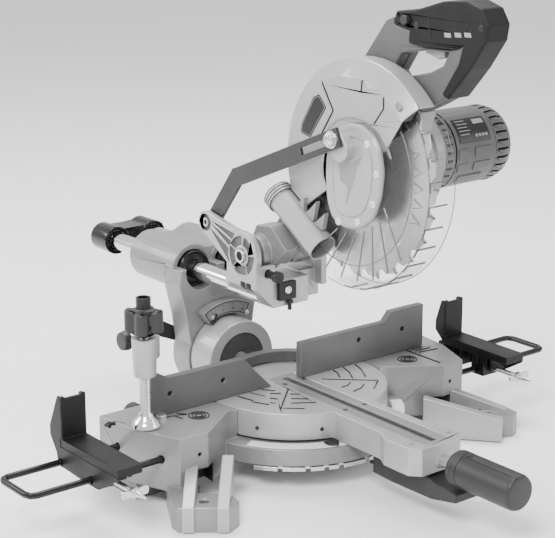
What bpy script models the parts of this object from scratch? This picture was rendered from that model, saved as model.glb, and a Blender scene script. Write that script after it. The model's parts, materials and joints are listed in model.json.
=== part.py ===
"""Sliding compound mitre saw, modelled piece by piece with its joints' axes.

Metres, +Z up, front (the operator's side) towards -Y. The origin is on the floor
under the turntable's axis. Every visible or working piece is its own object, and
each moving group hangs on an empty that stands on its joint's axis.
"""
from math import cos, pi, radians, sin

import bmesh
import bpy
from mathutils import Matrix, Vector

# ---- driving dimensions -------------------------------------------------------
GAP = 0.0003                 # clearance between pieces that touch
TABLE_Z = 0.075              # top of the wings and of the turntable
WING_FLOOR_Z = 0.018         # underside of the wings
FOOT_Z = 0.025               # top of the front feet
WING_BACK_Y = 0.040          # rear edge of the wings
DRUM_FLOOR_Z = 0.027         # underside of the round base
DRUM_TOP_Z = 0.045           # top of the round base under the turntable
DRUM_RADIUS = 0.1185
TABLE_RADIUS = 0.099
ARM_UNDER_Z = 0.047          # underside of the turntable and its front arm
ARM_FRONT_Y = -0.223
SLOT_FRONT_Y = -0.213
SLOT_BACK_Y = 0.013
FENCE_HALF = 0.186
FENCE_Z = 0.113
FENCE_THICK = 0.008
BEVEL_Z = TABLE_Z            # the bevel axis lies in the table's surface
BEVEL_DRUM_RADIUS = 0.043
BEVEL_DRUM_FRONT_Y = 0.088
BEVEL_JOINT_Y = 0.124        # where the tilting arm meets the drum
RAIL_X = 0.0255
RAIL_Z = 0.171
RAIL_RADIUS = 0.010
RAIL_BACK_Y = 0.300
HOUSING_FRONT_Y = 0.142
HOUSING_BACK_Y = 0.226
REAR_END_Y = 0.325
HEAD_PIVOT = (0.026, 0.213)  # (y, z) of the head's hinge
CHOP_LIMIT = 52
LINK_PIVOT = (0.088, 0.236)  # (y, z) of the guard link's hinge
BLADE_CENTRE = (-0.104, 0.317)
BLADE_RADIUS = 0.105
BLADE_TEETH = 24
BLADE_HALF = 0.0011
MOTOR_OFFSET = (-0.012, 0.012)    # motor axis from the blade's axis
UPPER_GUARD_RADIUS = 0.1085
LOWER_GUARD_RADIUS = 0.1125
COVER_RADIUS = 0.052
LINK_BOLT = (-0.104, 0.352)
HANDLE_X = 0.030
LOCK_OFF = (-0.145, 0.4635)  # (y, z) of the thumb button
BUTTON_RADIUS = 0.0045
ROD_X = 0.340
ROD_RADIUS = 0.0035
ROD_Z = 0.050
ROD_FRONT_Y = -0.041
ROD_BACK_Y = 0.013
BORE_X = 0.152               # blind end of the wings' rod bores
STOP_IN_X = {-1: 0.248, 1: 0.229}      # the stop brackets' inner sides, left and right
STOP_WIDTH = 0.027
STOP_TOP_Z = 0.0748
STOP_FACE_Y = 0.008
LOCK_SCREW_Z = 0.052
CLAMP_SCREW = (-0.194, -0.014)
CLAMP_POST = (-0.1660, 0.0215)
POST_LOCK = (-0.1660, 0.063)  # (x, z) of the knob that locks the post
CLAMP_KNOB_Z = 0.153
PORT_X = -0.0185
PORT_REAR, PORT_FRONT = (0.003, 0.2785), (-0.069, 0.2355)

FINISHES = {
    # name: (linear colour, roughness, metallic)
    "casting": ((0.50, 0.50, 0.50), 0.45, 0.3),
    "dark_casting": ((0.27, 0.27, 0.27), 0.5, 0.2),
    "grey_plastic": ((0.22, 0.22, 0.22), 0.5, 0.0),
    "knob_plastic": ((0.16, 0.16, 0.16), 0.5, 0.0),
    "black_plastic": ((0.03, 0.03, 0.03), 0.55, 0.0),
    "rubber": ((0.03, 0.03, 0.03), 0.8, 0.0),
    "chrome": ((0.75, 0.75, 0.76), 0.12, 1.0),
    "steel": ((0.55, 0.55, 0.56), 0.35, 1.0),
    "dark_steel": ((0.09, 0.09, 0.09), 0.45, 0.8),
    "scale": ((0.80, 0.80, 0.80), 0.4, 0.1),
    "clear": ((0.85, 0.86, 0.86), 0.08, 0.0),
    "copper": ((0.60, 0.28, 0.14), 0.35, 1.0),
}

# Local (a, b, height) to world, for shapes drawn along X, Y or Z
AXES = {
    "X": Matrix(((0, 0, 1, 0), (1, 0, 0, 0), (0, 1, 0, 0), (0, 0, 0, 1))),
    "Y": Matrix(((1, 0, 0, 0), (0, 0, 1, 0), (0, 1, 0, 0), (0, 0, 0, 1))),
    "Z": Matrix.Identity(4),
}


# ---- scene helpers ------------------------------------------------------------
def make_collection(name):
    """Return a new collection linked to the scene."""
    group = bpy.data.collections.new(name)
    bpy.context.scene.collection.children.link(group)
    return group


def paint(obj, finish):
    """Give the object a Principled material of its own."""
    colour, roughness, metallic = FINISHES[finish]
    material = bpy.data.materials.new(obj.name + "_finish")
    material.use_nodes = True
    shader = material.node_tree.nodes["Principled BSDF"]
    shader.inputs["Base Color"].default_value = (*colour, 1.0)
    shader.inputs["Roughness"].default_value = roughness
    shader.inputs["Metallic"].default_value = metallic
    material.diffuse_color = (*colour, 1.0)
    obj.data.materials.append(material)


def piece(name, mesh, finish):
    """Make one named sub-part from a mesh."""
    obj = bpy.data.objects.new(name, mesh)
    PARTS.objects.link(obj)
    paint(obj, finish)
    mesh.shade_smooth()
    mesh.set_sharp_from_angle(angle=radians(30))
    return obj


def combine(obj, operation, meshes):
    """Join meshes to the object, or cut them from it, with Boolean modifiers."""
    for mesh in meshes:
        tool = bpy.data.objects.new(obj.name + "_" + operation.lower(), mesh)
        TOOLS.objects.link(tool)
        tool.hide_render = True
        tool.display_type = "WIRE"
        modifier = obj.modifiers.new(operation.title(), "BOOLEAN")
        modifier.operation = operation
        modifier.solver = "EXACT"
        modifier.object = tool
    return obj


def add(obj, *meshes):
    """Join meshes to the object."""
    return combine(obj, "UNION", meshes)


def cut(obj, *meshes):
    """Cut meshes from the object."""
    return combine(obj, "DIFFERENCE", meshes)


def hang_on_axis(name, location, parts, parent=None):
    """Parent a moving group's pieces to an empty that stands on its joint's axis."""
    empty = bpy.data.objects.new(name, None)
    PARTS.objects.link(empty)
    empty.location = location
    if parent:
        empty.parent = parent
        empty.matrix_parent_inverse = Matrix.Translation(parent["stands_at"]).inverted()
    empty["stands_at"] = location
    for obj in parts:
        obj.parent = empty
        obj.matrix_parent_inverse = Matrix.Translation(location).inverted()
    return empty


# ---- shape helpers ------------------------------------------------------------
def finish_mesh(bm, matrix):
    """Place a bmesh, point its faces outwards and return it as a mesh."""
    bmesh.ops.transform(bm, matrix=matrix, verts=bm.verts)
    bmesh.ops.recalc_face_normals(bm, faces=bm.faces)
    mesh = bpy.data.meshes.new("shape")
    bm.to_mesh(mesh)
    bm.free()
    return mesh


def mesh_of(obj, matrix):
    """Turn a curve or a modified object into one welded mesh, and remove it."""
    bpy.context.scene.collection.objects.link(obj)
    bpy.context.view_layer.update()
    evaluated = obj.evaluated_get(bpy.context.evaluated_depsgraph_get())
    mesh = bpy.data.meshes.new_from_object(evaluated)
    bpy.data.objects.remove(obj)
    bm = bmesh.new()
    bm.from_mesh(mesh)
    bpy.data.meshes.remove(mesh)
    bmesh.ops.remove_doubles(bm, verts=bm.verts, dist=0.00001)
    return finish_mesh(bm, matrix)


def slab(outline, low, high, axis="Z", holes=()):
    """A flat outline, with holes, made thick from low to high along an axis."""
    curve = bpy.data.curves.new("outline", "CURVE")
    curve.dimensions = "2D"
    curve.fill_mode = "BOTH"
    curve.extrude = (high - low) / 2
    for loop in (outline, *holes):
        spline = curve.splines.new("POLY")
        spline.points.add(len(loop) - 1)
        for point, (a, b) in zip(spline.points, loop):
            point.co = (a, b, 0.0, 1.0)
        spline.use_cyclic_u = True
    middle = Matrix.Translation((0.0, 0.0, (low + high) / 2))
    return mesh_of(bpy.data.objects.new("outline", curve), AXES[axis] @ middle)


def rod(radius, low, high, centre=(0.0, 0.0), axis="Z", sides=20, end_radius=None):
    """A cylinder, or a cone, from low to high along an axis."""
    bm = bmesh.new()
    end = radius if end_radius is None else end_radius
    bmesh.ops.create_cone(bm, cap_ends=True, segments=sides, radius1=radius,
                          radius2=end, depth=high - low)
    middle = Matrix.Translation((centre[0], centre[1], (low + high) / 2))
    return finish_mesh(bm, AXES[axis] @ middle)


def block(low, high):
    """A box between two corners."""
    bm = bmesh.new()
    bmesh.ops.create_cube(bm, size=1.0)
    low, high = Vector(low), Vector(high)
    size = Matrix.Diagonal((*(high - low), 1.0))
    return finish_mesh(bm, Matrix.Translation((low + high) / 2) @ size)


def turned(profile, centre=(0.0, 0.0), axis="Z", sides=20, closed=True):
    """A turned shape: a profile of (radius, height) points swept round an axis."""
    mesh = bpy.data.meshes.new("profile")
    edges = [(i, i + 1) for i in range(len(profile) - 1)]
    if closed:
        edges.append((len(profile) - 1, 0))
    mesh.from_pydata([(r, 0.0, h) for r, h in profile], edges, [])
    obj = bpy.data.objects.new("profile", mesh)
    screw = obj.modifiers.new("Screw", "SCREW")
    screw.steps = sides
    screw.render_steps = sides
    screw.use_merge_vertices = True
    screw.merge_threshold = 0.00001
    offset = Matrix.Translation((centre[0], centre[1], 0.0))
    return mesh_of(obj, AXES[axis] @ offset)


def sleeve(outer, inner, low, high, centre=(0.0, 0.0), axis="Z", sides=20):
    """A tube with a square section."""
    profile = [(outer, high), (outer, low), (inner, low), (inner, high)]
    return turned(profile, centre, axis, sides)


def wire(points, radius, resolution=2, cyclic=False):
    """A round wire or tube through points."""
    curve = bpy.data.curves.new("wire", "CURVE")
    curve.dimensions = "3D"
    curve.bevel_depth = radius
    curve.bevel_resolution = resolution
    curve.use_fill_caps = True
    spline = curve.splines.new("POLY")
    spline.points.add(len(points) - 1)
    for point, place in zip(spline.points, points):
        point.co = (*place, 1.0)
    spline.use_cyclic_u = cyclic
    return mesh_of(bpy.data.objects.new("wire", curve), Matrix.Identity(4))


def arc(centre, radius, start, end, steps):
    """Points along an arc, in degrees counter-clockwise from the first axis."""
    points = []
    for i in range(steps + 1):
        angle = radians(start + (end - start) * i / steps)
        points.append((centre[0] + radius * cos(angle), centre[1] + radius * sin(angle)))
    return points


def sector(centre, inner, outer, start, end, steps):
    """The outline of a piece of a flat ring."""
    return arc(centre, outer, start, end, steps) + arc(centre, inner, end, start, steps)


def beam(first, last, half_first, half_last):
    """The outline of a tapered bar between two points."""
    first, last = Vector(first), Vector(last)
    along = (last - first).normalized()
    across = Vector((-along.y, along.x))
    corners = (first + across * half_first, first - across * half_first,
               last - across * half_last, last + across * half_last)
    return [tuple(corner) for corner in corners]


def mirrored(outline):
    """The outline on the other side of the centre line."""
    return [(-a, b) for a, b in reversed(outline)]


# ---- base ---------------------------------------------------------------------
def base_casting():
    """Two wings round the turntable, a round drum under it, and the feet."""
    half = [(0.108, -0.030), (0.157, -0.065), (0.188, -0.062), (0.208, -0.010),
            (0.214, WING_BACK_Y), (0.130, WING_BACK_Y), (0.108, 0.018)]
    obj = piece("base_casting", slab(half + mirrored(half), WING_FLOOR_Z, TABLE_Z), "casting")
    add(obj, rod(DRUM_RADIUS, DRUM_FLOOR_Z, DRUM_TOP_Z, sides=48))
    right_foot = [(0.152, -0.055), (0.162, -0.094), (0.170, -0.106), (0.205, -0.124),
                  (0.216, -0.119), (0.218, -0.085), (0.190, -0.040), (0.150, -0.040)]
    left_foot = [(0.152, -0.055), (0.162, -0.121), (0.178, -0.128), (0.217, -0.098),
                 (0.215, -0.085), (0.190, -0.040), (0.150, -0.040)]
    add(obj, slab(right_foot, 0.0, FOOT_Z), slab(mirrored(left_foot), 0.0, FOOT_Z))
    add(obj, block((0.150, -0.010, 0.0), (0.205, 0.036, 0.020)))
    add(obj, block((-0.205, -0.010, 0.0), (-0.150, 0.036, 0.020)))
    cut(obj, rod(TABLE_RADIUS + 0.0015, DRUM_TOP_Z, 0.080, sides=48))
    cut(obj, rod(0.0185, 0.029, 0.050))
    cut(obj, slab(sector((0, 0), 0.080, 0.125, 13, 167, 16), 0.031, 0.050))
    for side in (-1, 1):
        cut(obj, rod(0.005, -0.002, 0.030, (side * 0.188, -0.100), sides=12))
        low, high = sorted((side * BORE_X, side * 0.230))
        for y in (ROD_FRONT_Y, ROD_BACK_Y):
            cut(obj, rod(ROD_RADIUS + GAP, low, high, (y, ROD_Z), "X", 12))
    cut(obj, rod(0.0063, 0.0555, 0.080, CLAMP_POST, sides=16))
    cut(obj, rod(0.0043, CLAMP_POST[1], 0.045, POST_LOCK, "Y", 12))
    return obj


def miter_scale_plate():
    """The curved scale in front of the turntable."""
    outline = sector((0, 0), 0.1045, 0.1175, -90 - 62, -90 + 62, 24)
    return piece("miter_scale_plate", slab(outline, DRUM_TOP_Z + GAP, 0.0465), "scale")


def detent_plate():
    """The steel plate under the drum, with a notch for each common angle."""
    outline = sector((0, 0), 0.094, 0.1195, -90 - 58, -90 + 58, 24)
    obj = piece("detent_plate", slab(outline, 0.0225, DRUM_FLOOR_Z - GAP), "steel")
    for angle in (-45, -31.6, -22.5, -15, 0, 15, 22.5, 31.6, 45):
        notch = block((-0.0025, -0.125, 0.020), (0.0025, -0.113, 0.030))
        notch.transform(Matrix.Rotation(radians(angle), 4, "Z"))
        cut(obj, notch)
    return obj


def fence():
    """One casting: two halves and the low bow behind the blade that joins them."""
    low = TABLE_Z + GAP
    left = [(-FENCE_HALF, low), (-0.0285, low), (-0.0655, FENCE_Z), (-0.157, FENCE_Z),
            (-0.182, 0.127), (-FENCE_HALF, 0.124)]
    right = [(0.011, low), (FENCE_HALF, low), (FENCE_HALF, 0.124), (0.138, 0.124),
             (0.129, 0.114), (0.011, 0.114)]
    obj = piece("fence", slab(left, 0.0, FENCE_THICK, "Y"), "dark_casting")
    add(obj, slab(sector((0, 0.004), 0.056, 0.066, 0, 180, 16), 0.0765, 0.088))
    add(obj, slab(right, 0.0, FENCE_THICK, "Y"))
    for x in (-0.130, 0.165):
        add(obj, block((x - 0.012, 0.004, low), (x + 0.012, 0.020, 0.081)))
    for x, z in ((-0.1557, 0.096), (-0.0904, 0.0955), (0.0918, 0.101), (0.1549, 0.101)):
        cut(obj, rod(0.0028, -0.002, 0.010, (x, z), "Y", 12))
    return obj


# ---- turntable ----------------------------------------------------------------
def turntable_casting():
    """The round table, its front arm and the drum that carries the bevel arm."""
    obj = piece("turntable_casting", rod(TABLE_RADIUS, ARM_UNDER_Z, TABLE_Z, sides=48), "casting")
    half = [(0.030, -0.088), (0.0265, -0.100), (0.0265, -0.166), (0.034, -0.180),
            (0.034, -0.214), (0.025, ARM_FRONT_Y)]
    add(obj, slab([(0.030, -0.060)] + half + mirrored(half) + [(-0.030, -0.060)],
                  ARM_UNDER_Z, TABLE_Z))
    add(obj, block((-0.040, 0.060, ARM_UNDER_Z), (0.040, 0.100, TABLE_Z)))
    add(obj, block((-0.040, 0.090, 0.034), (0.040, BEVEL_JOINT_Y - 0.0005, TABLE_Z)))
    add(obj, rod(BEVEL_DRUM_RADIUS, BEVEL_DRUM_FRONT_Y, BEVEL_JOINT_Y - 0.0005,
                 (0, BEVEL_Z), "Y", 36))
    add(obj, rod(0.018, 0.0295, ARM_UNDER_Z + 0.001))
    cut(obj, block((-0.0168, -0.2163, 0.0718), (0.0168, 0.0203, 0.080)))
    cut(obj, block((-0.008, SLOT_FRONT_Y, 0.060), (0.008, SLOT_BACK_Y, 0.078)))
    cut(obj, rod(0.0085, 0.080, 0.130, (0, BEVEL_Z), "Y"))
    cut(obj, rod(0.0063, ARM_FRONT_Y - 0.002, -0.150, (0, 0.058), "Y", 16))
    return obj


def kerf_insert():
    """The dark strip with the blade's slot, let into the table."""
    outline = [(0.0165, 0.020), (0.0165, -0.216), (-0.0165, -0.216), (-0.0165, 0.020)]
    slot = [(0.0048, SLOT_BACK_Y), (0.0048, SLOT_FRONT_Y), (-0.0048, SLOT_FRONT_Y),
            (-0.0048, SLOT_BACK_Y)]
    return piece("kerf_insert", slab(outline, 0.0721, TABLE_Z - 0.0002, holes=[slot]),
                 "black_plastic")


def miter_lock():
    """The front handle whose screw locks the turntable."""
    shaft = piece("miter_lock_shaft", rod(0.006, -0.270, -0.160, (0, 0.058), "Y", 16), "steel")
    profile = [(0.0, -0.325), (0.013, -0.3245), (0.0175, -0.317), (0.0175, -0.262),
               (0.0135, -0.250), (0.010, -0.2405), (0.0063, -0.2405), (0.0063, -0.2715),
               (0.0, -0.2715)]
    grip = piece("miter_lock_grip", turned(profile, (0, 0.058), "Y", 24, closed=False),
                 "knob_plastic")
    return [shaft, grip]


def detent_lever():
    """The thumb lever under the arm's front that lifts the detent pin."""
    side = [(-0.2580, 0.0290), (-0.2230, 0.0220), (-0.1670, 0.0210), (-0.1420, 0.0225),
            (-0.1420, 0.0400), (-0.1700, 0.0450), (-0.2150, 0.0450), (-0.2300, 0.0400),
            (-0.2580, 0.0370)]
    obj = piece("detent_lever", slab(side, -0.014, 0.014, "X"), "black_plastic")
    add(obj, block((-0.002, -0.145, 0.0235), (0.002, -0.1235, 0.0262)))
    return obj


# ---- bevel arm ----------------------------------------------------------------
def arm_casting():
    """The tilting arm: a hub on the bevel axis, a column and the rail housing."""
    y0, y1 = BEVEL_JOINT_Y + 0.0005, 0.155
    half = [(0.040, 0.080), (0.046, 0.119), (0.055, 0.158), (0.0525, 0.176)]
    obj = piece("arm_casting", slab(half + mirrored(half), y0, y1, "Y"), "casting")
    add(obj, rod(0.045, y0, y1, (0, BEVEL_Z), "Y", 32))
    for x in (-RAIL_X, RAIL_X):
        add(obj, rod(0.027, HOUSING_FRONT_Y, HOUSING_BACK_Y, (x, RAIL_Z), "Y", 28))
    add(obj, block((-RAIL_X, HOUSING_FRONT_Y + 0.001, 0.150),
                   (RAIL_X, HOUSING_BACK_Y - 0.001, 0.192)))
    for x in (-RAIL_X, RAIL_X):
        cut(obj, rod(0.0108, 0.120, 0.230, (x, RAIL_Z), "Y", 24))
        cut(obj, rod(0.0203, 0.120, 0.1605, (x, RAIL_Z), "Y", 24))
    cut(obj, rod(0.0084, 0.120, 0.158, (0, BEVEL_Z), "Y"))
    cut(obj, rod(0.0044, 0.044, 0.060, (0.185, RAIL_Z), "X", 12))
    return obj


def rail_bushings():
    """The black rings that the rails slide in."""
    made = []
    for name, x in (("rail_bushing_left", -RAIL_X), ("rail_bushing_right", RAIL_X)):
        ring = sleeve(0.0200, 0.0104, 0.1385, 0.1602, (x, RAIL_Z), "Y", 24)
        made.append(piece(name, ring, "black_plastic"))
    return made


def bevel_scale_plate():
    """The curved bevel scale over the drum."""
    outline = sector((0, BEVEL_Z), 0.0465, 0.0610, 60, 123, 12)
    return piece("bevel_scale_plate", slab(outline, 0.112, BEVEL_JOINT_Y, "Y"), "scale")


def bevel_pivot_pin():
    """The pin that the arm tilts on."""
    return piece("bevel_pivot_pin", rod(0.008, 0.0905, 0.172, (0, BEVEL_Z), "Y"), "steel")


def bevel_lock_lever():
    """The lever behind the arm that clamps the bevel."""
    hub = sleeve(0.015, 0.0084, 0.157, 0.170, (0, BEVEL_Z), "Y")
    obj = piece("bevel_lock_lever", hub, "knob_plastic")
    add(obj, slab(beam((-0.0115, 0.081), (-0.082, 0.116), 0.006, 0.010), 0.158, 0.169, "Y"))
    return obj


def rail_lock_knob():
    """The knob at the housing's right side that locks the slide."""
    stem = [(0.0, 0.080), (0.011, 0.080), (0.013, 0.077), (0.013, 0.062), (0.006, 0.060),
            (0.006, 0.0555), (0.004, 0.0550), (0.004, 0.0450), (0.0, 0.0450)]
    return piece("rail_lock_knob", turned(stem, (0.185, RAIL_Z), "X", 16, closed=False),
                 "knob_plastic")


# ---- carriage -----------------------------------------------------------------
def rails():
    """The two chromed rails that slide through the housing."""
    made = []
    for name, x in (("rail_left", -RAIL_X), ("rail_right", RAIL_X)):
        bar = rod(RAIL_RADIUS, 0.017, RAIL_BACK_Y, (x, RAIL_Z), "Y", 24)
        made.append(piece(name, bar, "chrome"))
    return made


def rail_end_cap():
    """The plastic cap that joins the rails' rear ends."""
    front = 0.292
    obj = piece("rail_end_cap", rod(0.0160, front, REAR_END_Y, (-RAIL_X, RAIL_Z), "Y", 24),
                "black_plastic")
    add(obj, block((-RAIL_X, front + 0.001, RAIL_Z - 0.010),
                   (RAIL_X, REAR_END_Y - 0.001, RAIL_Z + 0.012)))
    add(obj, rod(0.0160, front, REAR_END_Y, (RAIL_X, RAIL_Z), "Y", 24))
    for x in (-RAIL_X, RAIL_X):
        cut(obj, rod(0.0104, front - 0.002, RAIL_BACK_Y + GAP, (x, RAIL_Z), "Y", 24))
    return obj


def cheek(side, inner, outer, low_z):
    """The outline plate of one cheek, between two distances from the centre line."""
    y, z = HEAD_PIVOT
    low, high = sorted((side * inner, side * outer))
    plate = [(y - 0.024, low_z), (y + 0.026, low_z), (y + 0.025, z), (y - 0.024, z)]
    return [slab(plate, low, high, "X"), rod(0.0255, low, high, (y, z), "X", 28)]


def carriage_casting():
    """The block on the rails' front ends, with the cheeks of the head's hinge."""
    y, z = HEAD_PIVOT
    obj = piece("carriage_casting", block((-0.041, 0.002, 0.158), (0.022, 0.062, 0.186)),
                "casting")
    add(obj, block((0.020, 0.014, 0.1585), (0.046, 0.0615, 0.1885)))
    add(obj, *cheek(-1, 0.040, 0.047, 0.172), *cheek(1, 0.040, 0.047, 0.172))
    add(obj, slab(beam(HEAD_PIVOT, LINK_PIVOT, 0.0235, 0.0118), -0.047, -0.040, "X"))
    add(obj, rod(0.012, -0.047, -0.040, LINK_PIVOT, "X", 20))
    add(obj, rod(0.004, -0.041, -0.0325, LINK_PIVOT, "X", 12))
    add(obj, block((-0.041, 0.002, 0.184), (-0.022, 0.008, 0.204)))
    chamfer = block((-0.060, -0.020, -0.060), (0.060, 0.120, 0.0))
    chamfer.transform(Matrix.Translation((-0.047, 0.0, 0.181)) @ Matrix.Rotation(radians(45), 4, "Y"))
    cut(obj, chamfer)
    for x in (-RAIL_X, RAIL_X):
        cut(obj, rod(0.0104, 0.0165, 0.070, (x, RAIL_Z), "Y", 24))
    cut(obj, rod(0.0073, -0.050, 0.050, HEAD_PIVOT, "X"))
    cut(obj, rod(0.0044, -0.010, 0.020, (-0.031, 0.196), "Y", 12))
    return obj


def head_pivot_shaft():
    """The shaft of the head's hinge."""
    return piece("head_pivot_shaft", rod(0.007, -0.049, 0.049, HEAD_PIVOT, "X"), "steel")


def return_spring():
    """The torsion spring round the shaft that lifts the head."""
    y, z = HEAD_PIVOT
    turns, per_turn, radius = 7, 10, 0.0135
    points = []
    for i in range(turns * per_turn + 1):
        angle = 2 * pi * i / per_turn
        x = -0.0115 + 0.027 * i / (turns * per_turn)
        points.append((x, y + radius * cos(angle), z + radius * sin(angle)))
    return piece("return_spring", wire(points, 0.0015, 1), "dark_steel")


def depth_stop_plate():
    """The black stop plate on the block's front face."""
    return piece("depth_stop_plate", block((-0.020, -0.003, 0.166), (0.002, 0.002 - GAP, 0.185)),
                 "black_plastic")


def head_lock_pin():
    """The pull pin that holds the head down for carrying."""
    profile = [(0.0, -0.017), (0.006, -0.017), (0.006, -0.010), (0.0040, -0.009),
               (0.0040, 0.012), (0.0, 0.012)]
    return piece("head_lock_pin", turned(profile, (-0.031, 0.196), "Y", 12, closed=False),
                 "black_plastic")


# ---- head ---------------------------------------------------------------------
def from_blade(radius, angle):
    """The (y, z) at a distance and an angle from the blade's axis, 0 at the front."""
    return (BLADE_CENTRE[0] - radius * cos(radians(angle)),
            BLADE_CENTRE[1] + radius * sin(radians(angle)))


def motor_axis():
    """The (y, z) of the motor's axis."""
    return (BLADE_CENTRE[0] + MOTOR_OFFSET[0], BLADE_CENTRE[1] + MOTOR_OFFSET[1])


def chop_relief(low, high):
    """The room that a block on the carriage takes in the head once the head is right down."""
    relief = block(low, high)
    hinge = Matrix.Translation((0.0, *HEAD_PIVOT))
    relief.transform(hinge @ Matrix.Rotation(radians(-CHOP_LIMIT), 4, "X") @ hinge.inverted())
    return relief


def gear_housing():
    """The casting of the head: gear case, neck and the two lugs of its hinge."""
    y, z = HEAD_PIVOT
    neck_start = from_blade(0.1145, 219.3)
    obj = piece("gear_housing", rod(0.052, 0.0165, 0.058, BLADE_CENTRE, "X", 32), "casting")
    add(obj, slab(beam(BLADE_CENTRE, HEAD_PIVOT, 0.044, 0.0165), 0.0172, 0.0345, "X"))
    add(obj, slab(beam(neck_start, HEAD_PIVOT, 0.0305, 0.0175), -0.0022, 0.0335, "X"))
    add(obj, rod(0.0185, -0.031, 0.036, HEAD_PIVOT, "X", 24))
    saddle = [(0.043, 0.222), (0.034, 0.240), (0.010, 0.243), (-0.016, 0.222), (0.010, 0.197)]
    add(obj, slab(saddle, -0.0215, 0.001, "X"))
    add(obj, rod(0.0395, 0.050, 0.062, motor_axis(), "X", 32))
    handle_foot = [(-0.060, 0.350), (-0.150, 0.345), (-0.160, 0.378), (-0.140, 0.396),
                   (-0.086, 0.396), (-0.060, 0.380)]
    add(obj, slab(handle_foot, 0.0175, 0.043, "X"))
    cut(obj, rod(0.0165, -0.0145, 0.0190, HEAD_PIVOT, "X", 24))
    cut(obj, block((-0.0145, y - 0.022, z - 0.030), (0.0190, y + 0.030, z + 0.0165)))
    cut(obj, chop_relief((-0.010, -0.0036, 0.150), (0.0226, 0.070, 0.1866)))
    cut(obj, chop_relief((0.0195, 0.0134, 0.150), (0.0345, 0.070, 0.1892)))
    cut(obj, rod(0.0074, -0.040, 0.040, HEAD_PIVOT, "X"))
    cut(obj, rod(0.0160, 0.0280, 0.0500, BLADE_CENTRE, "X", 24))
    cut(obj, rod(0.0096, 0.0100, 0.0300, BLADE_CENTRE, "X"))
    cut(obj, rod(0.0075, 0.0320, 0.0700, motor_axis(), "X"))
    return obj


def upper_guard():
    """The fixed blade guard: a rim and a left wall, open towards the blade."""
    start, end = 30, 214
    rim = [from_blade(UPPER_GUARD_RADIUS, start + (end - start) * i / 24) for i in range(25)]
    wall = rim + [from_blade(0.036, end), from_blade(0.036, start)]
    obj = piece("upper_guard", slab(wall, -0.016, 0.016, "X"), "casting")
    bevel = [(0.0917, -0.017), (0.1200, -0.017), (0.1200, -0.003), (0.1098, -0.003)]
    cut(obj, turned(bevel, BLADE_CENTRE, "X", 72))
    for inner, low in ((0.0925, -0.0135), (UPPER_GUARD_RADIUS - 0.0025, -0.0035)):
        hollow = [from_blade(inner, start - 20 + (end - start + 24) * i / 24) for i in range(25)]
        hollow += [from_blade(0.030, end + 40), from_blade(0.030, start - 40)]
        cut(obj, slab(hollow, low, 0.020, "X"))
    cut(obj, rod(0.040, -0.020, 0.020, BLADE_CENTRE, "X", 24))
    cut(obj, along_port(rod(0.0160, -0.030, 0.110, sides=20)))
    return obj


def along_port(mesh):
    """Lay a shape drawn up the Z axis along the dust port's axis."""
    rear, front = Vector((PORT_X, *PORT_REAR)), Vector((PORT_X, *PORT_FRONT))
    turn = (front - rear).to_track_quat("Z", "Y").to_matrix().to_4x4()
    mesh.transform(Matrix.Translation(rear) @ turn)
    return mesh


def dust_port():
    """The dust tube through the guard's rear, with a flared mouth behind the blade."""
    length = (Vector(PORT_FRONT) - Vector(PORT_REAR)).length
    profile = [(0.0155, 0.0), (0.0155, 0.010), (0.0140, 0.011), (0.0140, length * 0.6),
               (0.0148, length), (0.0135, length), (0.0120, length * 0.6), (0.0120, 0.0)]
    return piece("dust_port", along_port(turned(profile, sides=20)), "casting")


def motor():
    """The motor's casing, its vented end cap and the stator inside."""
    axis = motor_axis()
    shell = [(0.0375, 0.0625), (0.0385, 0.072), (0.0378, 0.132), (0.0345, 0.132),
             (0.0345, 0.0625)]
    casing = piece("motor_housing", turned(shell[::-1], axis, "X", 28), "grey_plastic")
    dome = [(0.0375, 0.1323), (0.0385, 0.144), (0.0350, 0.155), (0.0240, 0.1605), (0.0, 0.1605),
            (0.0, 0.1568), (0.0220, 0.1568), (0.0315, 0.152), (0.0348, 0.143), (0.0340, 0.1323)]
    cap = piece("motor_end_cap", turned(dome, axis, "X", 28), "grey_plastic")
    stator = piece("motor_stator", sleeve(0.0335, 0.0215, 0.086, 0.120, axis, "X", 20), "copper")
    cut(cap, *[rod(0.0025, 0.150, 0.165, (axis[0] + 0.014 * cos(turn), axis[1] + 0.014 * sin(turn)),
                   "X", 8) for turn in (0.0, pi / 2, pi, 1.5 * pi)])
    return [casing, cap, stator]


def handle_outline():
    """The handle's outer outline and its finger hole, seen from the side."""
    outer = [(-0.092, 0.3965), (-0.078, 0.415), (-0.097, 0.439), (-0.114, 0.460),
             (-0.130, 0.4670), (-0.154, 0.469), (-0.190, 0.480), (-0.222, 0.483),
             (-0.237, 0.478), (-0.245, 0.467), (-0.243, 0.454), (-0.224, 0.428),
             (-0.198, 0.398), (-0.175, 0.386), (-0.1605, 0.3795), (-0.1415, 0.3965)]
    hole = [(-0.123, 0.412), (-0.136, 0.431), (-0.170, 0.4385), (-0.199, 0.4390),
            (-0.192, 0.426), (-0.176, 0.4185), (-0.129, 0.407)]
    return outer, hole


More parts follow.
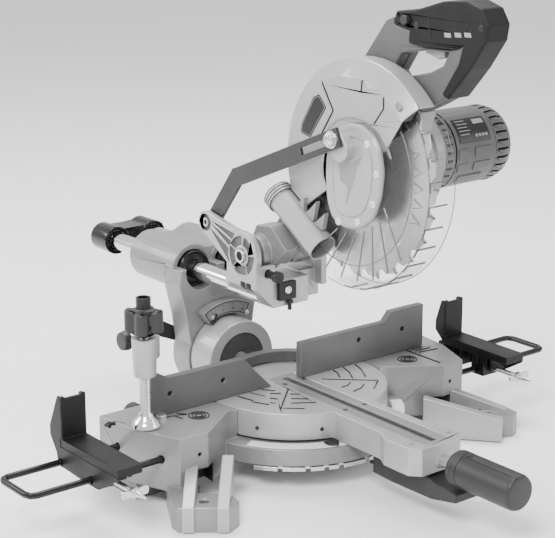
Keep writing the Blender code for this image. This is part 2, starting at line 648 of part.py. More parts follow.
def handle():
    """Two handle shells, the switch between them and the rubber over top and front."""
    outer, hole = handle_outline()
    left = piece("handle_shell_left", slab(outer, 0.0180, HANDLE_X - GAP / 2, "X", [hole]),
                 "grey_plastic")
    right = piece("handle_shell_right", slab(outer, HANDLE_X + GAP / 2, 0.0420, "X", [hole]),
                  "grey_plastic")
    rubber = [(-0.1260, 0.4580), (-0.1300, 0.4705), (-0.1540, 0.4730), (-0.1900, 0.4840),
              (-0.2220, 0.4870), (-0.2400, 0.4815), (-0.2490, 0.4680), (-0.2465, 0.4530),
              (-0.2275, 0.4265), (-0.2010, 0.3965), (-0.1930, 0.4000), (-0.2130, 0.4300),
              (-0.2180, 0.4470), (-0.2050, 0.4560), (-0.1600, 0.4520)]
    grip = piece("handle_overmould", slab(rubber, 0.0160, 0.0440, "X"), "rubber")
    cut(grip, rod(BUTTON_RADIUS + 0.0004, 0.010, 0.0215, LOCK_OFF, "X", 16))
    seat = [(-0.1256, 0.4576), (-0.1110, 0.5200), (-0.3000, 0.5200), (-0.3000, 0.3800),
            (-0.2383, 0.3798), (-0.19248, 0.39985), (-0.21265, 0.4301), (-0.21765, 0.44685),
            (-0.2049, 0.45565), (-0.1600, 0.45165)]
    pocket = [(-0.1585, 0.4300), (-0.1885, 0.4300), (-0.1885, 0.4514), (-0.1585, 0.4505)]
    for shell in (left, right):
        cut(shell, slab(seat, 0.010, 0.050, "X"))
        cut(shell, slab(pocket, 0.0235, 0.0365, "X"))
    body = [(-0.1600, 0.4465), (-0.1870, 0.4465), (-0.1870, 0.4508), (-0.1600, 0.4500)]
    switch = piece("trigger_switch", slab(body, 0.0245, 0.0355, "X"), "black_plastic")
    return [left, right, grip, switch]


def trigger():
    """The trigger under the grip."""
    outline = [(-0.1600, 0.4425), (-0.1870, 0.4425), (-0.1875, 0.4325), (-0.1800, 0.4300),
               (-0.1620, 0.4345)]
    return piece("trigger", slab(outline, 0.0245, 0.0355, "X"), "knob_plastic")


def lock_off_button():
    """The thumb button at the grip's left side."""
    return piece("lock_off_button", rod(BUTTON_RADIUS, 0.0115, 0.0175, LOCK_OFF, "X", 16),
                 "knob_plastic")


# ---- blade and drive ----------------------------------------------------------
def saw_blade():
    """The blade, one hooked tooth after another round its rim."""
    pitch = 2 * pi / BLADE_TEETH
    y, z = BLADE_CENTRE
    outline = []
    for tooth in range(BLADE_TEETH):
        for radius, share in ((BLADE_RADIUS, 0.0), (0.0965, 0.06), (0.0975, 0.30), (0.103, 0.62)):
            angle = (tooth + share) * pitch
            outline.append((y + radius * cos(angle), z + radius * sin(angle)))
    bore = arc(BLADE_CENTRE, 0.0083, 0, 345, 23)
    return piece("saw_blade", slab(outline, -BLADE_HALF, BLADE_HALF, "X", [bore]), "steel")


def spindle():
    """The stepped spindle that carries the blade, with its gear seat."""
    profile = [(0.0, 0.0495), (0.0080, 0.0495), (0.0080, 0.0060), (0.0078, 0.0055),
               (0.0078, -0.0060), (0.0, -0.0060)]
    return piece("spindle", turned(profile, BLADE_CENTRE, "X", closed=False), "steel")


def spindle_gear():
    """The gear on the spindle, driven by the motor's pinion."""
    y, z = BLADE_CENTRE
    teeth = 26
    outline = []
    for i in range(teeth):
        for radius, share in ((0.0122, 0.0), (0.0135, 0.25), (0.0135, 0.5), (0.0122, 0.75)):
            angle = 2 * pi * (i + share + 0.125) / teeth
            outline.append((y + radius * cos(angle), z + radius * sin(angle)))
    bore = arc(BLADE_CENTRE, 0.0082, 0, 342, 19)
    return piece("spindle_gear", slab(outline, 0.034, 0.044, "X", [bore]), "dark_steel")


def blade_clamping():
    """The outer flange and the arbor bolt that hold the blade."""
    flange = piece("blade_flange", sleeve(0.019, 0.0082, -0.0050, -0.0014, BLADE_CENTRE, "X"),
                   "steel")
    bolt = piece("arbor_bolt", rod(0.0115, -0.0125, -0.0063, BLADE_CENTRE, "X", 6), "dark_steel")
    inner = piece("blade_flange_inner", sleeve(0.019, 0.0082, 0.0014, 0.0050, BLADE_CENTRE, "X"),
                  "steel")
    return [flange, bolt, inner]


def armature():
    """The motor's rotor: core, commutator, shaft and pinion."""
    profile = [(0.0, 0.150), (0.0045, 0.150), (0.0045, 0.136), (0.0120, 0.136), (0.0120, 0.126),
               (0.0205, 0.120), (0.0205, 0.086), (0.0050, 0.084), (0.0050, 0.050),
               (0.0032, 0.048), (0.0032, 0.034), (0.0, 0.034)]
    return piece("armature", turned(profile, motor_axis(), "X", closed=False), "copper")


def cooling_fan():
    """The fan disc between the gear case and the windings."""
    obj = piece("cooling_fan", sleeve(0.0315, 0.0053, 0.066, 0.069, motor_axis(), "X", 24),
                "grey_plastic")
    y, z = motor_axis()
    for i in range(8):
        blade = block((0.0685, 0.012, -0.0008), (0.078, 0.030, 0.0008))
        turn = Matrix.Rotation(2 * pi * i / 8, 4, "X")
        blade.transform(Matrix.Translation((0.0, y, z)) @ turn)
        add(obj, blade)
    return obj


# ---- lower guard and link -----------------------------------------------------
def lower_guard():
    """The clear guard: a left wall and a rim round the blade's front and underside."""
    start, end = -100, 33
    outer, inner = LOWER_GUARD_RADIUS, LOWER_GUARD_RADIUS - 0.003
    steps = 24
    rim = [from_blade(outer, start + (end - start) * i / steps) for i in range(steps + 1)]
    back = [from_blade(0.020, end - (end - start) * i / 4) for i in range(5)]
    obj = piece("lower_guard", slab(rim + back, -0.0185, 0.0145, "X"), "clear")
    hollow = [from_blade(inner, start - 5 + (end - start + 10) * i / steps)
              for i in range(steps + 1)]
    hollow += [from_blade(0.010, end + 30), from_blade(0.010, start - 30)]
    cut(obj, slab(hollow, -0.0163, 0.020, "X"))
    return obj


def guard_cover_plate():
    """The round cover over the arbor, with the lug that the link pulls."""
    obj = piece("guard_cover_plate", rod(COVER_RADIUS, -0.0235, -0.0188, BLADE_CENTRE, "X", 36),
                "casting")
    add(obj, rod(0.009, -0.0335, -0.0225, LINK_BOLT, "X", 16))
    cut(obj, rod(0.013, -0.030, -0.018, BLADE_CENTRE, "X", 20))
    return obj


def guard_link():
    """The slotted bar that lifts the lower guard, and the bolt in its slot."""
    bend = Vector((0.046, 0.290))
    bolt = Vector(LINK_BOLT)
    pivot = Vector(LINK_PIVOT)
    to_bolt = (bolt - bend).normalized()
    to_pivot = (pivot - bend).normalized()
    tip, heel = bolt + to_bolt * 0.009, pivot + to_pivot * 0.012
    obj = piece("guard_link", slab(beam(bend - to_bolt * 0.004, tip, 0.0095, 0.0095),
                                   -0.0385, -0.0345, "X"), "dark_steel")
    add(obj, slab(beam(bend - to_pivot * 0.004, heel, 0.0095, 0.0095), -0.0385, -0.0345, "X"))
    add(obj, rod(0.0094, -0.0385, -0.0345, tuple(bend), "X", 20))
    slot_end = bolt - to_bolt * 0.050
    cut(obj, slab(beam(bolt + to_bolt * 0.0042, slot_end, 0.0036, 0.0036), -0.040, -0.033, "X"))
    cut(obj, rod(0.0044, -0.040, -0.033, LINK_PIVOT, "X", 12))
    head = turned([(0.0, -0.0355), (0.0033, -0.0355), (0.0033, -0.0388), (0.0070, -0.0388),
                   (0.0070, -0.0440), (0.0, -0.0440)], LINK_BOLT, "X", 12, closed=False)
    return [obj, piece("guard_link_bolt", head, "steel")]


# ---- extensions ---------------------------------------------------------------
def extension(side, word):
    """One side's sliding wire loop, its stop bracket and the wing screw."""
    start, corner = side * 0.170, 0.008
    outline = [(start, ROD_BACK_Y)]
    for centre_y, angles in ((ROD_BACK_Y - corner, (90, 45, 0)), (ROD_FRONT_Y + corner, (0, -45, -90))):
        for angle in angles:
            outline.append((side * (ROD_X - corner + corner * cos(radians(angle))),
                            centre_y + corner * sin(radians(angle))))
    outline.append((start, ROD_FRONT_Y))
    loop = piece("extension_loop_" + word, wire([(x, y, ROD_Z) for x, y in outline], ROD_RADIUS),
                 "dark_steel")
    stop = stop_bracket(side, word)
    x, z = screw_x(side), LOCK_SCREW_Z
    screw = turned([(0.0, -0.0468), (0.0023, -0.0468), (0.0023, -0.0900), (0.0052, -0.0905),
                    (0.0052, -0.0985), (0.0023, -0.0990), (0.0023, -0.1120), (0.0, -0.1120)],
                   (x, z), "Y", 12, closed=False)
    wing = piece("wing_screw_" + word, screw, "steel")
    add(wing, block((x - 0.012, -0.0965, z - 0.0015), (x + 0.012, -0.0915, z + 0.0015)))
    return loop, stop, wing


def screw_x(side):
    """Where a stop bracket's locking screw is, at the middle of the bracket."""
    return side * (STOP_IN_X[side] + STOP_WIDTH / 2)


def stop_bracket(side, word):
    """The stop on a wire loop: a platform on ribs, an upright face and two gussets."""
    def across(low, high):
        return sorted((side * low, side * high))

    inner = STOP_IN_X[side]
    outer = inner + STOP_WIDTH
    x0, x1 = across(inner, outer)
    top = STOP_TOP_Z
    name = "stop_bracket_" + word
    stop = piece(name, block((x0, -0.088, 0.066), (x1, 0.0115, top)), "dark_steel")
    low, high = across(inner + 0.0002, outer - 0.0002)
    face = [(low, 0.070), (low, 0.1165), (low + 0.003, 0.1175), (low + 0.0055, 0.1150),
            (high - 0.0055, 0.1150), (high - 0.003, 0.1175), (high, 0.1165), (high, 0.070)]
    add(stop, slab(face[::-1], STOP_FACE_Y, STOP_FACE_Y + 0.0033, "Y"))
    outer_side = [(0.0155, 0.1165), (0.0310, 0.0830), (0.0310, 0.0735), (0.0157, 0.0530),
                  (0.0048, 0.0455), (-0.0226, 0.0440), (-0.0540, 0.0440), (-0.0875, 0.0640),
                  (-0.0875, top - 0.0002), (0.0085, top - 0.0002), (0.0085, 0.1165)]
    add(stop, slab(outer_side, *across(outer - 0.0028, outer - 0.0001), "X"))
    inner_side = [(0.0155, 0.1160), (0.0240, 0.0910), (0.0240, 0.0800), (0.0110, 0.0680),
                  (0.0085, 0.0680), (0.0085, 0.1160)]
    add(stop, slab(inner_side, *across(inner + 0.0001, inner + 0.0026), "X"))
    low, high = across(inner + 0.0015, outer - 0.0010)
    for front, back, floor in ((-0.0640, -0.0618, 0.0520), (-0.0520, -0.0330, 0.0430),
                               (-0.0160, -0.0138, 0.0460), (0.0062, 0.0199, 0.0445)):
        add(stop, block((low, front, floor), (high, back, 0.0670)))
    for y in (ROD_FRONT_Y, ROD_BACK_Y):
        cut(stop, rod(ROD_RADIUS + GAP, x0 - 0.002, x1 + 0.002, (y, ROD_Z), "X", 12))
    cut(stop, rod(0.0029, -0.070, -0.0465, (screw_x(side), LOCK_SCREW_Z), "Y", 12))
    return stop


# ---- clamp --------------------------------------------------------------------
def clamp():
    """The hold-down clamp: post, arm, screw with its foot, and the side knob."""
    px, py = CLAMP_POST
    sx, sy = CLAMP_SCREW
    post = piece("clamp_post", rod(0.006, 0.0560, 0.176, CLAMP_POST, sides=16), "steel")
    arm = piece("clamp_arm", rod(0.0110, 0.127, 0.166, CLAMP_SCREW, sides=20, end_radius=0.0125),
                "casting")
    add(arm, rod(0.0115, 0.131, 0.168, CLAMP_POST, sides=20))
    add(arm, slab(beam(CLAMP_SCREW, CLAMP_POST, 0.008, 0.008), 0.133, 0.164))
    cut(arm, rod(0.0063, 0.110, 0.180, CLAMP_POST, sides=16))
    cut(arm, rod(0.0058, 0.110, 0.180, CLAMP_SCREW, sides=16))
    cut(arm, rod(0.0030, px - 0.020, px - 0.004, (py, CLAMP_KNOB_Z), "X", 10))
    foot_z = TABLE_Z + GAP
    profile = [(0.0, 0.2060), (0.0065, 0.2060), (0.0065, 0.1950), (0.0075, 0.1945),
               (0.0075, 0.1690), (0.0055, 0.1680), (0.0055, 0.0900), (0.0100, 0.0870),
               (0.0140, 0.0800), (0.0145, foot_z), (0.0, foot_z)]
    screw = piece("clamp_screw", turned(profile, CLAMP_SCREW, sides=20, closed=False), "chrome")
    lobes = [(0.019 if i % 4 < 2 else 0.0115, 2 * pi * (i + 0.5) / 16) for i in range(16)]
    star = [(sx + r * cos(a), sy + r * sin(a)) for r, a in lobes]
    add(screw, slab(star, 0.1705, 0.1940))
    stem = [(0.0, px - 0.0066), (0.0026, px - 0.0066), (0.0026, px - 0.0225),
            (0.0090, px - 0.0230), (0.0100, px - 0.0250), (0.0090, px - 0.0315),
            (0.0, px - 0.0320)]
    knob = piece("clamp_arm_knob", turned(stem, (py, CLAMP_KNOB_Z), "X", 16, closed=False),
                 "knob_plastic")
    return post, arm, screw, knob


def post_lock_knob():
    """The knob behind the wing that holds the clamp's post."""
    profile = [(0.0, 0.0282), (0.004, 0.0282), (0.004, 0.0425), (0.0110, 0.0435),
               (0.0110, 0.0550), (0.0, 0.0550)]
    return piece("post_lock_knob", turned(profile, POST_LOCK, "Y", 16, closed=False),
                 "knob_plastic")


# ---- assembly -----------------------------------------------------------------
def assemble():
    """Make every piece and hang the moving groups on their joints' axes."""
    base = [base_casting(), miter_scale_plate(), detent_plate(), fence()]
    base_frame = hang_on_axis("base_frame", (0, 0, 0), base)
    table = hang_on_axis("miter_axis", (0, 0, 0), [turntable_casting(), kerf_insert()], base_frame)
    hang_on_axis("miter_lock_axis", (0, ARM_FRONT_Y, 0.058), miter_lock(), table)
    hang_on_axis("detent_axis", (0, -0.170, 0.037), [detent_lever()], table)

    arm_pieces = [arm_casting(), *rail_bushings(), bevel_scale_plate(), bevel_pivot_pin()]
    arm = hang_on_axis("bevel_axis", (0, BEVEL_JOINT_Y, BEVEL_Z), arm_pieces, table)
    hang_on_axis("bevel_lock_axis", (0, 0.163, BEVEL_Z), [bevel_lock_lever()], arm)
    hang_on_axis("rail_lock_axis", (0.060, 0.185, RAIL_Z), [rail_lock_knob()], arm)

    moving = [*rails(), rail_end_cap(), carriage_casting(), head_pivot_shaft(), return_spring(),
              depth_stop_plate()]
    carriage = hang_on_axis("slide_axis", (0, HOUSING_FRONT_Y, RAIL_Z), moving, arm)
    hang_on_axis("lock_pin_axis", (-0.031, 0.0, 0.196), [head_lock_pin()], carriage)

    head_pieces = [gear_housing(), upper_guard(), dust_port(), *motor(), *handle()]
    head = hang_on_axis("chop_axis", (0, *HEAD_PIVOT), head_pieces, carriage)
    hang_on_axis("trigger_axis", (HANDLE_X, -0.174, 0.436), [trigger()], head)
    hang_on_axis("lock_off_axis", (0.0115, *LOCK_OFF), [lock_off_button()], head)
    drive = [saw_blade(), spindle(), spindle_gear(), *blade_clamping()]
    hang_on_axis("blade_axis", (0, *BLADE_CENTRE), drive, head)
    hang_on_axis("motor_axis", (0.1, *motor_axis()), [armature(), cooling_fan()], head)
    hang_on_axis("guard_axis", (0, *BLADE_CENTRE), [lower_guard(), guard_cover_plate()], head)
    hang_on_axis("link_axis", (-0.0365, *LINK_PIVOT), guard_link(), carriage)

    for side, word in ((-1, "left"), (1, "right")):
        loop, stop, wing = extension(side, word)
        rail = hang_on_axis("extension_axis_" + word, (side * 0.2, 0, ROD_Z), [loop, stop], base_frame)
        hang_on_axis("wing_axis_" + word, (screw_x(side), -0.094, LOCK_SCREW_Z), [wing], rail)

    post, clamp_arm, screw, knob = clamp()
    post_frame = hang_on_axis("clamp_post_axis", (*CLAMP_POST, TABLE_Z), [post], base_frame)
    arm_frame = hang_on_axis("clamp_arm_axis", (*CLAMP_POST, 0.140), [clamp_arm], post_frame)
    hang_on_axis("clamp_screw_axis", (*CLAMP_SCREW, 0.140), [screw], arm_frame)
    hang_on_axis("clamp_knob_axis", (CLAMP_POST[0] - 0.02, CLAMP_POST[1], CLAMP_KNOB_Z), [knob],
                 arm_frame)
    hang_on_axis("post_lock_axis", (POST_LOCK[0], WING_BACK_Y, POST_LOCK[1]), [post_lock_knob()],
                 base_frame)


for old in list(bpy.data.objects):
    bpy.data.objects.remove(old, do_unlink=True)
PARTS = make_collection("sliding_miter_saw")
TOOLS = make_collection("cutters")
assemble()
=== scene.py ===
"""The looks of a sliding compound mitre saw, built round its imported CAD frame.

Metres, +Z up, the operator at -Y. The castings are rounded and pocketed copies of their CAD
nodes; bolts, ribs, scales, labels and grips are new pieces that ride on the CAD bodies.
"""

import json
from math import atan2, cos, degrees, hypot, pi, radians, sin

import bmesh
import bpy
from mathutils import Matrix, Vector

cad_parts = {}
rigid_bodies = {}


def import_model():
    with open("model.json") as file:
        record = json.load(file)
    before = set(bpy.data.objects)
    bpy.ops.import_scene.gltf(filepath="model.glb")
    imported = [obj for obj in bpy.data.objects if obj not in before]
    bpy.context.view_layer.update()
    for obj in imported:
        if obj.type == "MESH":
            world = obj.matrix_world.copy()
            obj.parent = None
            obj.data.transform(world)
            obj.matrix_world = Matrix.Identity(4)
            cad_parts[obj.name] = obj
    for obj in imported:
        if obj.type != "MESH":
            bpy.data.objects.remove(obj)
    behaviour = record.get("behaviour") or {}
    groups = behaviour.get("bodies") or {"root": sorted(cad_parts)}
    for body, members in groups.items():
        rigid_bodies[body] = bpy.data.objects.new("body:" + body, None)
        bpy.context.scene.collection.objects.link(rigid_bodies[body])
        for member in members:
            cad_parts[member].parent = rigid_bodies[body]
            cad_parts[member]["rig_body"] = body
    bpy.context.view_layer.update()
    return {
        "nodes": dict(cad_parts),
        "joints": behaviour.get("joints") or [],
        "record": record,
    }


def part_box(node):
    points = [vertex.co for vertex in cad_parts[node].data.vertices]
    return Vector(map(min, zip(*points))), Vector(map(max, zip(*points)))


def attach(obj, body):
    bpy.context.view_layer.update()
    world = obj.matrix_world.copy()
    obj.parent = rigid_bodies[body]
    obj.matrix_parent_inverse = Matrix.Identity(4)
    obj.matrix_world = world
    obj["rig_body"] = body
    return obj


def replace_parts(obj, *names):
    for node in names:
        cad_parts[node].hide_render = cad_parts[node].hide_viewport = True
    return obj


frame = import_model()
NODES = frame["nodes"]
SLOT_OF = {row["node"]: row["material_slot"] for row in frame["record"]["subparts"]}
JOINT = {joint["name"]: joint for joint in frame["joints"]}

AXES = {
    "X": Matrix(((0, 0, 1, 0), (1, 0, 0, 0), (0, 1, 0, 0), (0, 0, 0, 1))),
    "Y": Matrix(((1, 0, 0, 0), (0, 0, 1, 0), (0, 1, 0, 0), (0, 0, 0, 1))),
    "Z": Matrix.Identity(4),
}


# ---- anchors, all read from the frame -------------------------------------------
def middle(node):
    """The centre of a CAD node's box."""
    low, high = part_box(node)
    return (low + high) / 2


def pivot(name):
    """The point on a joint's axis."""
    return Vector(JOINT[name]["pos_m"])


TABLE_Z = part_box("base_casting")[1].z
BLADE = pivot("blade_spin")
HEAD = pivot("chop")
LINK = pivot("link_swing")
MOTOR = pivot("armature_spin")
BEVEL = pivot("bevel")
BOLT = middle("guard_link_bolt")
RAIL_Z = middle("rail_left").z
RAIL_X = middle("rail_right").x


# ---- node-tree helpers ----------------------------------------------------------
class Graph:
    """A thin wrapper that makes and links the nodes of one material."""

    def __init__(self, name):
        self.material = bpy.data.materials.new(name)
        self.material.use_nodes = True
        self.tree = self.material.node_tree
        self.shader = self.tree.nodes["Principled BSDF"]
        self.place = self.node("ShaderNodeTexCoord").outputs["Object"]

    def node(self, kind, **values):
        """A new node with some of its properties set."""
        made = self.tree.nodes.new(kind)
        for key, value in values.items():
            setattr(made, key, value)
        return made

    def link(self, output, socket):
        self.tree.links.new(output, socket)

    def noise(self, scale, detail=3.0, stretch=None, roughness=0.55):
        """Noise over the object's own coordinates, stretched along an axis if asked."""
        place = self.place
        if stretch:
            mapping = self.node("ShaderNodeMapping")
            mapping.inputs["Scale"].default_value = stretch
            self.link(place, mapping.inputs["Vector"])
            place = mapping.outputs["Vector"]
        made = self.node("ShaderNodeTexNoise")
        made.inputs["Scale"].default_value = scale
        made.inputs["Detail"].default_value = detail
        made.inputs["Roughness"].default_value = roughness
        self.link(place, made.inputs["Vector"])
        return made.outputs["Fac"]

    def ranged(self, value, low, high, out_low, out_high):
        """A value moved from one range to another, clamped."""
        made = self.node("ShaderNodeMapRange")
        for socket, number in zip(("From Min", "From Max", "To Min", "To Max"),
                                  (low, high, out_low, out_high)):
            made.inputs[socket].default_value = number
        self.link(value, made.inputs["Value"])
        return made.outputs["Result"]

    def times(self, a, b):
        made = self.node("ShaderNodeMath", operation="MULTIPLY")
        self.link(a, made.inputs[0])
        self.link(b, made.inputs[1])
        return made.outputs[0]

    def blend(self, factor, first, second):
        """A colour between two, each given as a colour or as an output."""
        made = self.node("ShaderNodeMix", data_type="RGBA")
        self.link(factor, made.inputs["Factor"])
        for socket, colour in ((made.inputs[6], first), (made.inputs[7], second)):
            if isinstance(colour, bpy.types.NodeSocket):
                self.link(colour, socket)
            else:
                socket.default_value = (*colour, 1.0)
        return made.outputs[2]

    def edges(self, radius):
        """1 on convex and concave edges, 0 on flat faces."""
        bevel = self.node("ShaderNodeBevel", samples=4)
        bevel.inputs["Radius"].default_value = radius
        geometry = self.node("ShaderNodeNewGeometry")
        dot = self.node("ShaderNodeVectorMath", operation="DOT_PRODUCT")
        self.link(bevel.outputs["Normal"], dot.inputs[0])
        self.link(geometry.outputs["Normal"], dot.inputs[1])
        return self.ranged(dot.outputs["Value"], 0.985, 0.82, 0.0, 1.0)

    def bump(self, height, strength, distance):
        made = self.node("ShaderNodeBump")
        made.inputs["Strength"].default_value = strength
        made.inputs["Distance"].default_value = distance
        self.link(height, made.inputs["Height"])
        self.link(made.outputs["Normal"], self.shader.inputs["Normal"])


def grey(value, tint=0.0):
    """A neutral colour, a little cool or warm by the tint."""
    return (value * (1 - tint), value, value * (1 + tint))


def finish(name, colour, roughness, metallic=0.0, mottle=0.08, scale=22.0, grain=0.25,
           grain_scale=1400.0, distance=0.00012, wear=None, wear_amount=0.6, spread=0.08,
           streak=None, coat=0.0, specular=0.5):
    """A painted, moulded or metal finish: mottled colour, fine grain and worn edges."""
    graph = Graph(name)
    shader = graph.shader
    shader.inputs["Metallic"].default_value = metallic
    shader.inputs["Coat Weight"].default_value = coat
    shader.inputs["Coat Roughness"].default_value = 0.12
    shader.inputs["Specular IOR Level"].default_value = specular
    cloud = graph.noise(scale, 4.0, streak)
    dark = tuple(c * (1 - mottle) for c in colour)
    light = tuple(min(1.0, c * (1 + mottle)) for c in colour)
    paint = graph.blend(graph.ranged(cloud, 0.32, 0.68, 0.0, 1.0), dark, light)
    rough = graph.ranged(cloud, 0.3, 0.7, roughness + spread / 2, max(0.03, roughness - spread / 2))
    if wear:
        patchy = graph.ranged(graph.noise(90.0, 3.0), 0.40, 0.62, 0.25, 1.0)
        mask = graph.times(graph.edges(0.0011), patchy)
        mask = graph.ranged(mask, 0.0, 1.0, 0.0, wear_amount)
        paint = graph.blend(mask, paint, wear)
    graph.link(paint, shader.inputs["Base Color"])
    graph.link(rough, shader.inputs["Roughness"])
    graph.bump(graph.noise(grain_scale, 2.0, streak), grain, distance)
    return graph.material


def brushed(name, value, roughness, stretch, wear=None):
    """Machined metal with fine lines along one direction."""
    return finish(name, grey(value, 0.01), roughness, metallic=1.0, mottle=0.13, scale=160.0,
                  grain=0.30, grain_scale=420.0, distance=0.00005, streak=stretch, wear=wear)


def radial_steel(name, centre, value):
    """Ground steel with rings round a centre, for the blade and turned faces."""
    graph = Graph(name)
    away = graph.node("ShaderNodeVectorMath", operation="DISTANCE")
    flat = graph.node("ShaderNodeVectorMath", operation="MULTIPLY")
    flat.inputs[1].default_value = (0.0, 1.0, 1.0)
    away.inputs[1].default_value = (0.0, centre.y, centre.z)
    graph.link(graph.place, flat.inputs[0])
    graph.link(flat.outputs["Vector"], away.inputs[0])
    ring = graph.node("ShaderNodeTexNoise", noise_dimensions="1D")
    ring.inputs["Scale"].default_value = 2600.0
    graph.link(away.outputs["Value"], ring.inputs["W"])
    cloud = graph.noise(28.0, 3.0)
    both = graph.times(ring.outputs["Fac"], graph.ranged(cloud, 0.3, 0.7, 0.8, 1.25))
    tone = graph.blend(graph.ranged(both, 0.25, 0.75, 0.0, 1.0), grey(value * 0.72), grey(value))
    graph.link(tone, graph.shader.inputs["Base Color"])
    graph.shader.inputs["Metallic"].default_value = 1.0
    graph.link(graph.ranged(both, 0.3, 0.7, 0.36, 0.22), graph.shader.inputs["Roughness"])
    graph.bump(ring.outputs["Fac"], 0.15, 0.00004)
    return graph.material


def clear_plastic(name):
    """The see-through guard: faint on its faces, denser at its edges, with fine scuffs."""
    graph = Graph(name)
    scuffs = graph.noise(520.0, 4.0, (1.0, 0.18, 1.0))
    cloud = graph.noise(30.0, 3.0)
    tone = graph.blend(graph.ranged(cloud, 0.3, 0.7, 0.0, 1.0), grey(0.20, 0.01), grey(0.34, 0.01))
    graph.link(tone, graph.shader.inputs["Base Color"])
    graph.link(graph.ranged(scuffs, 0.45, 0.75, 0.06, 0.20), graph.shader.inputs["Roughness"])
    facing = graph.node("ShaderNodeLayerWeight")
    facing.inputs["Blend"].default_value = 0.35
    dense = graph.ranged(facing.outputs["Facing"], 0.35, 0.98, 0.06, 0.60)
    rim = graph.ranged(graph.edges(0.0012), 0.0, 1.0, 1.0, 3.6)
    graph.link(graph.times(dense, rim), graph.shader.inputs["Alpha"])
    graph.shader.inputs["Coat Weight"].default_value = 0.5
    graph.shader.inputs["Coat Roughness"].default_value = 0.05
    graph.bump(scuffs, 0.06, 0.00005)
    return graph.material


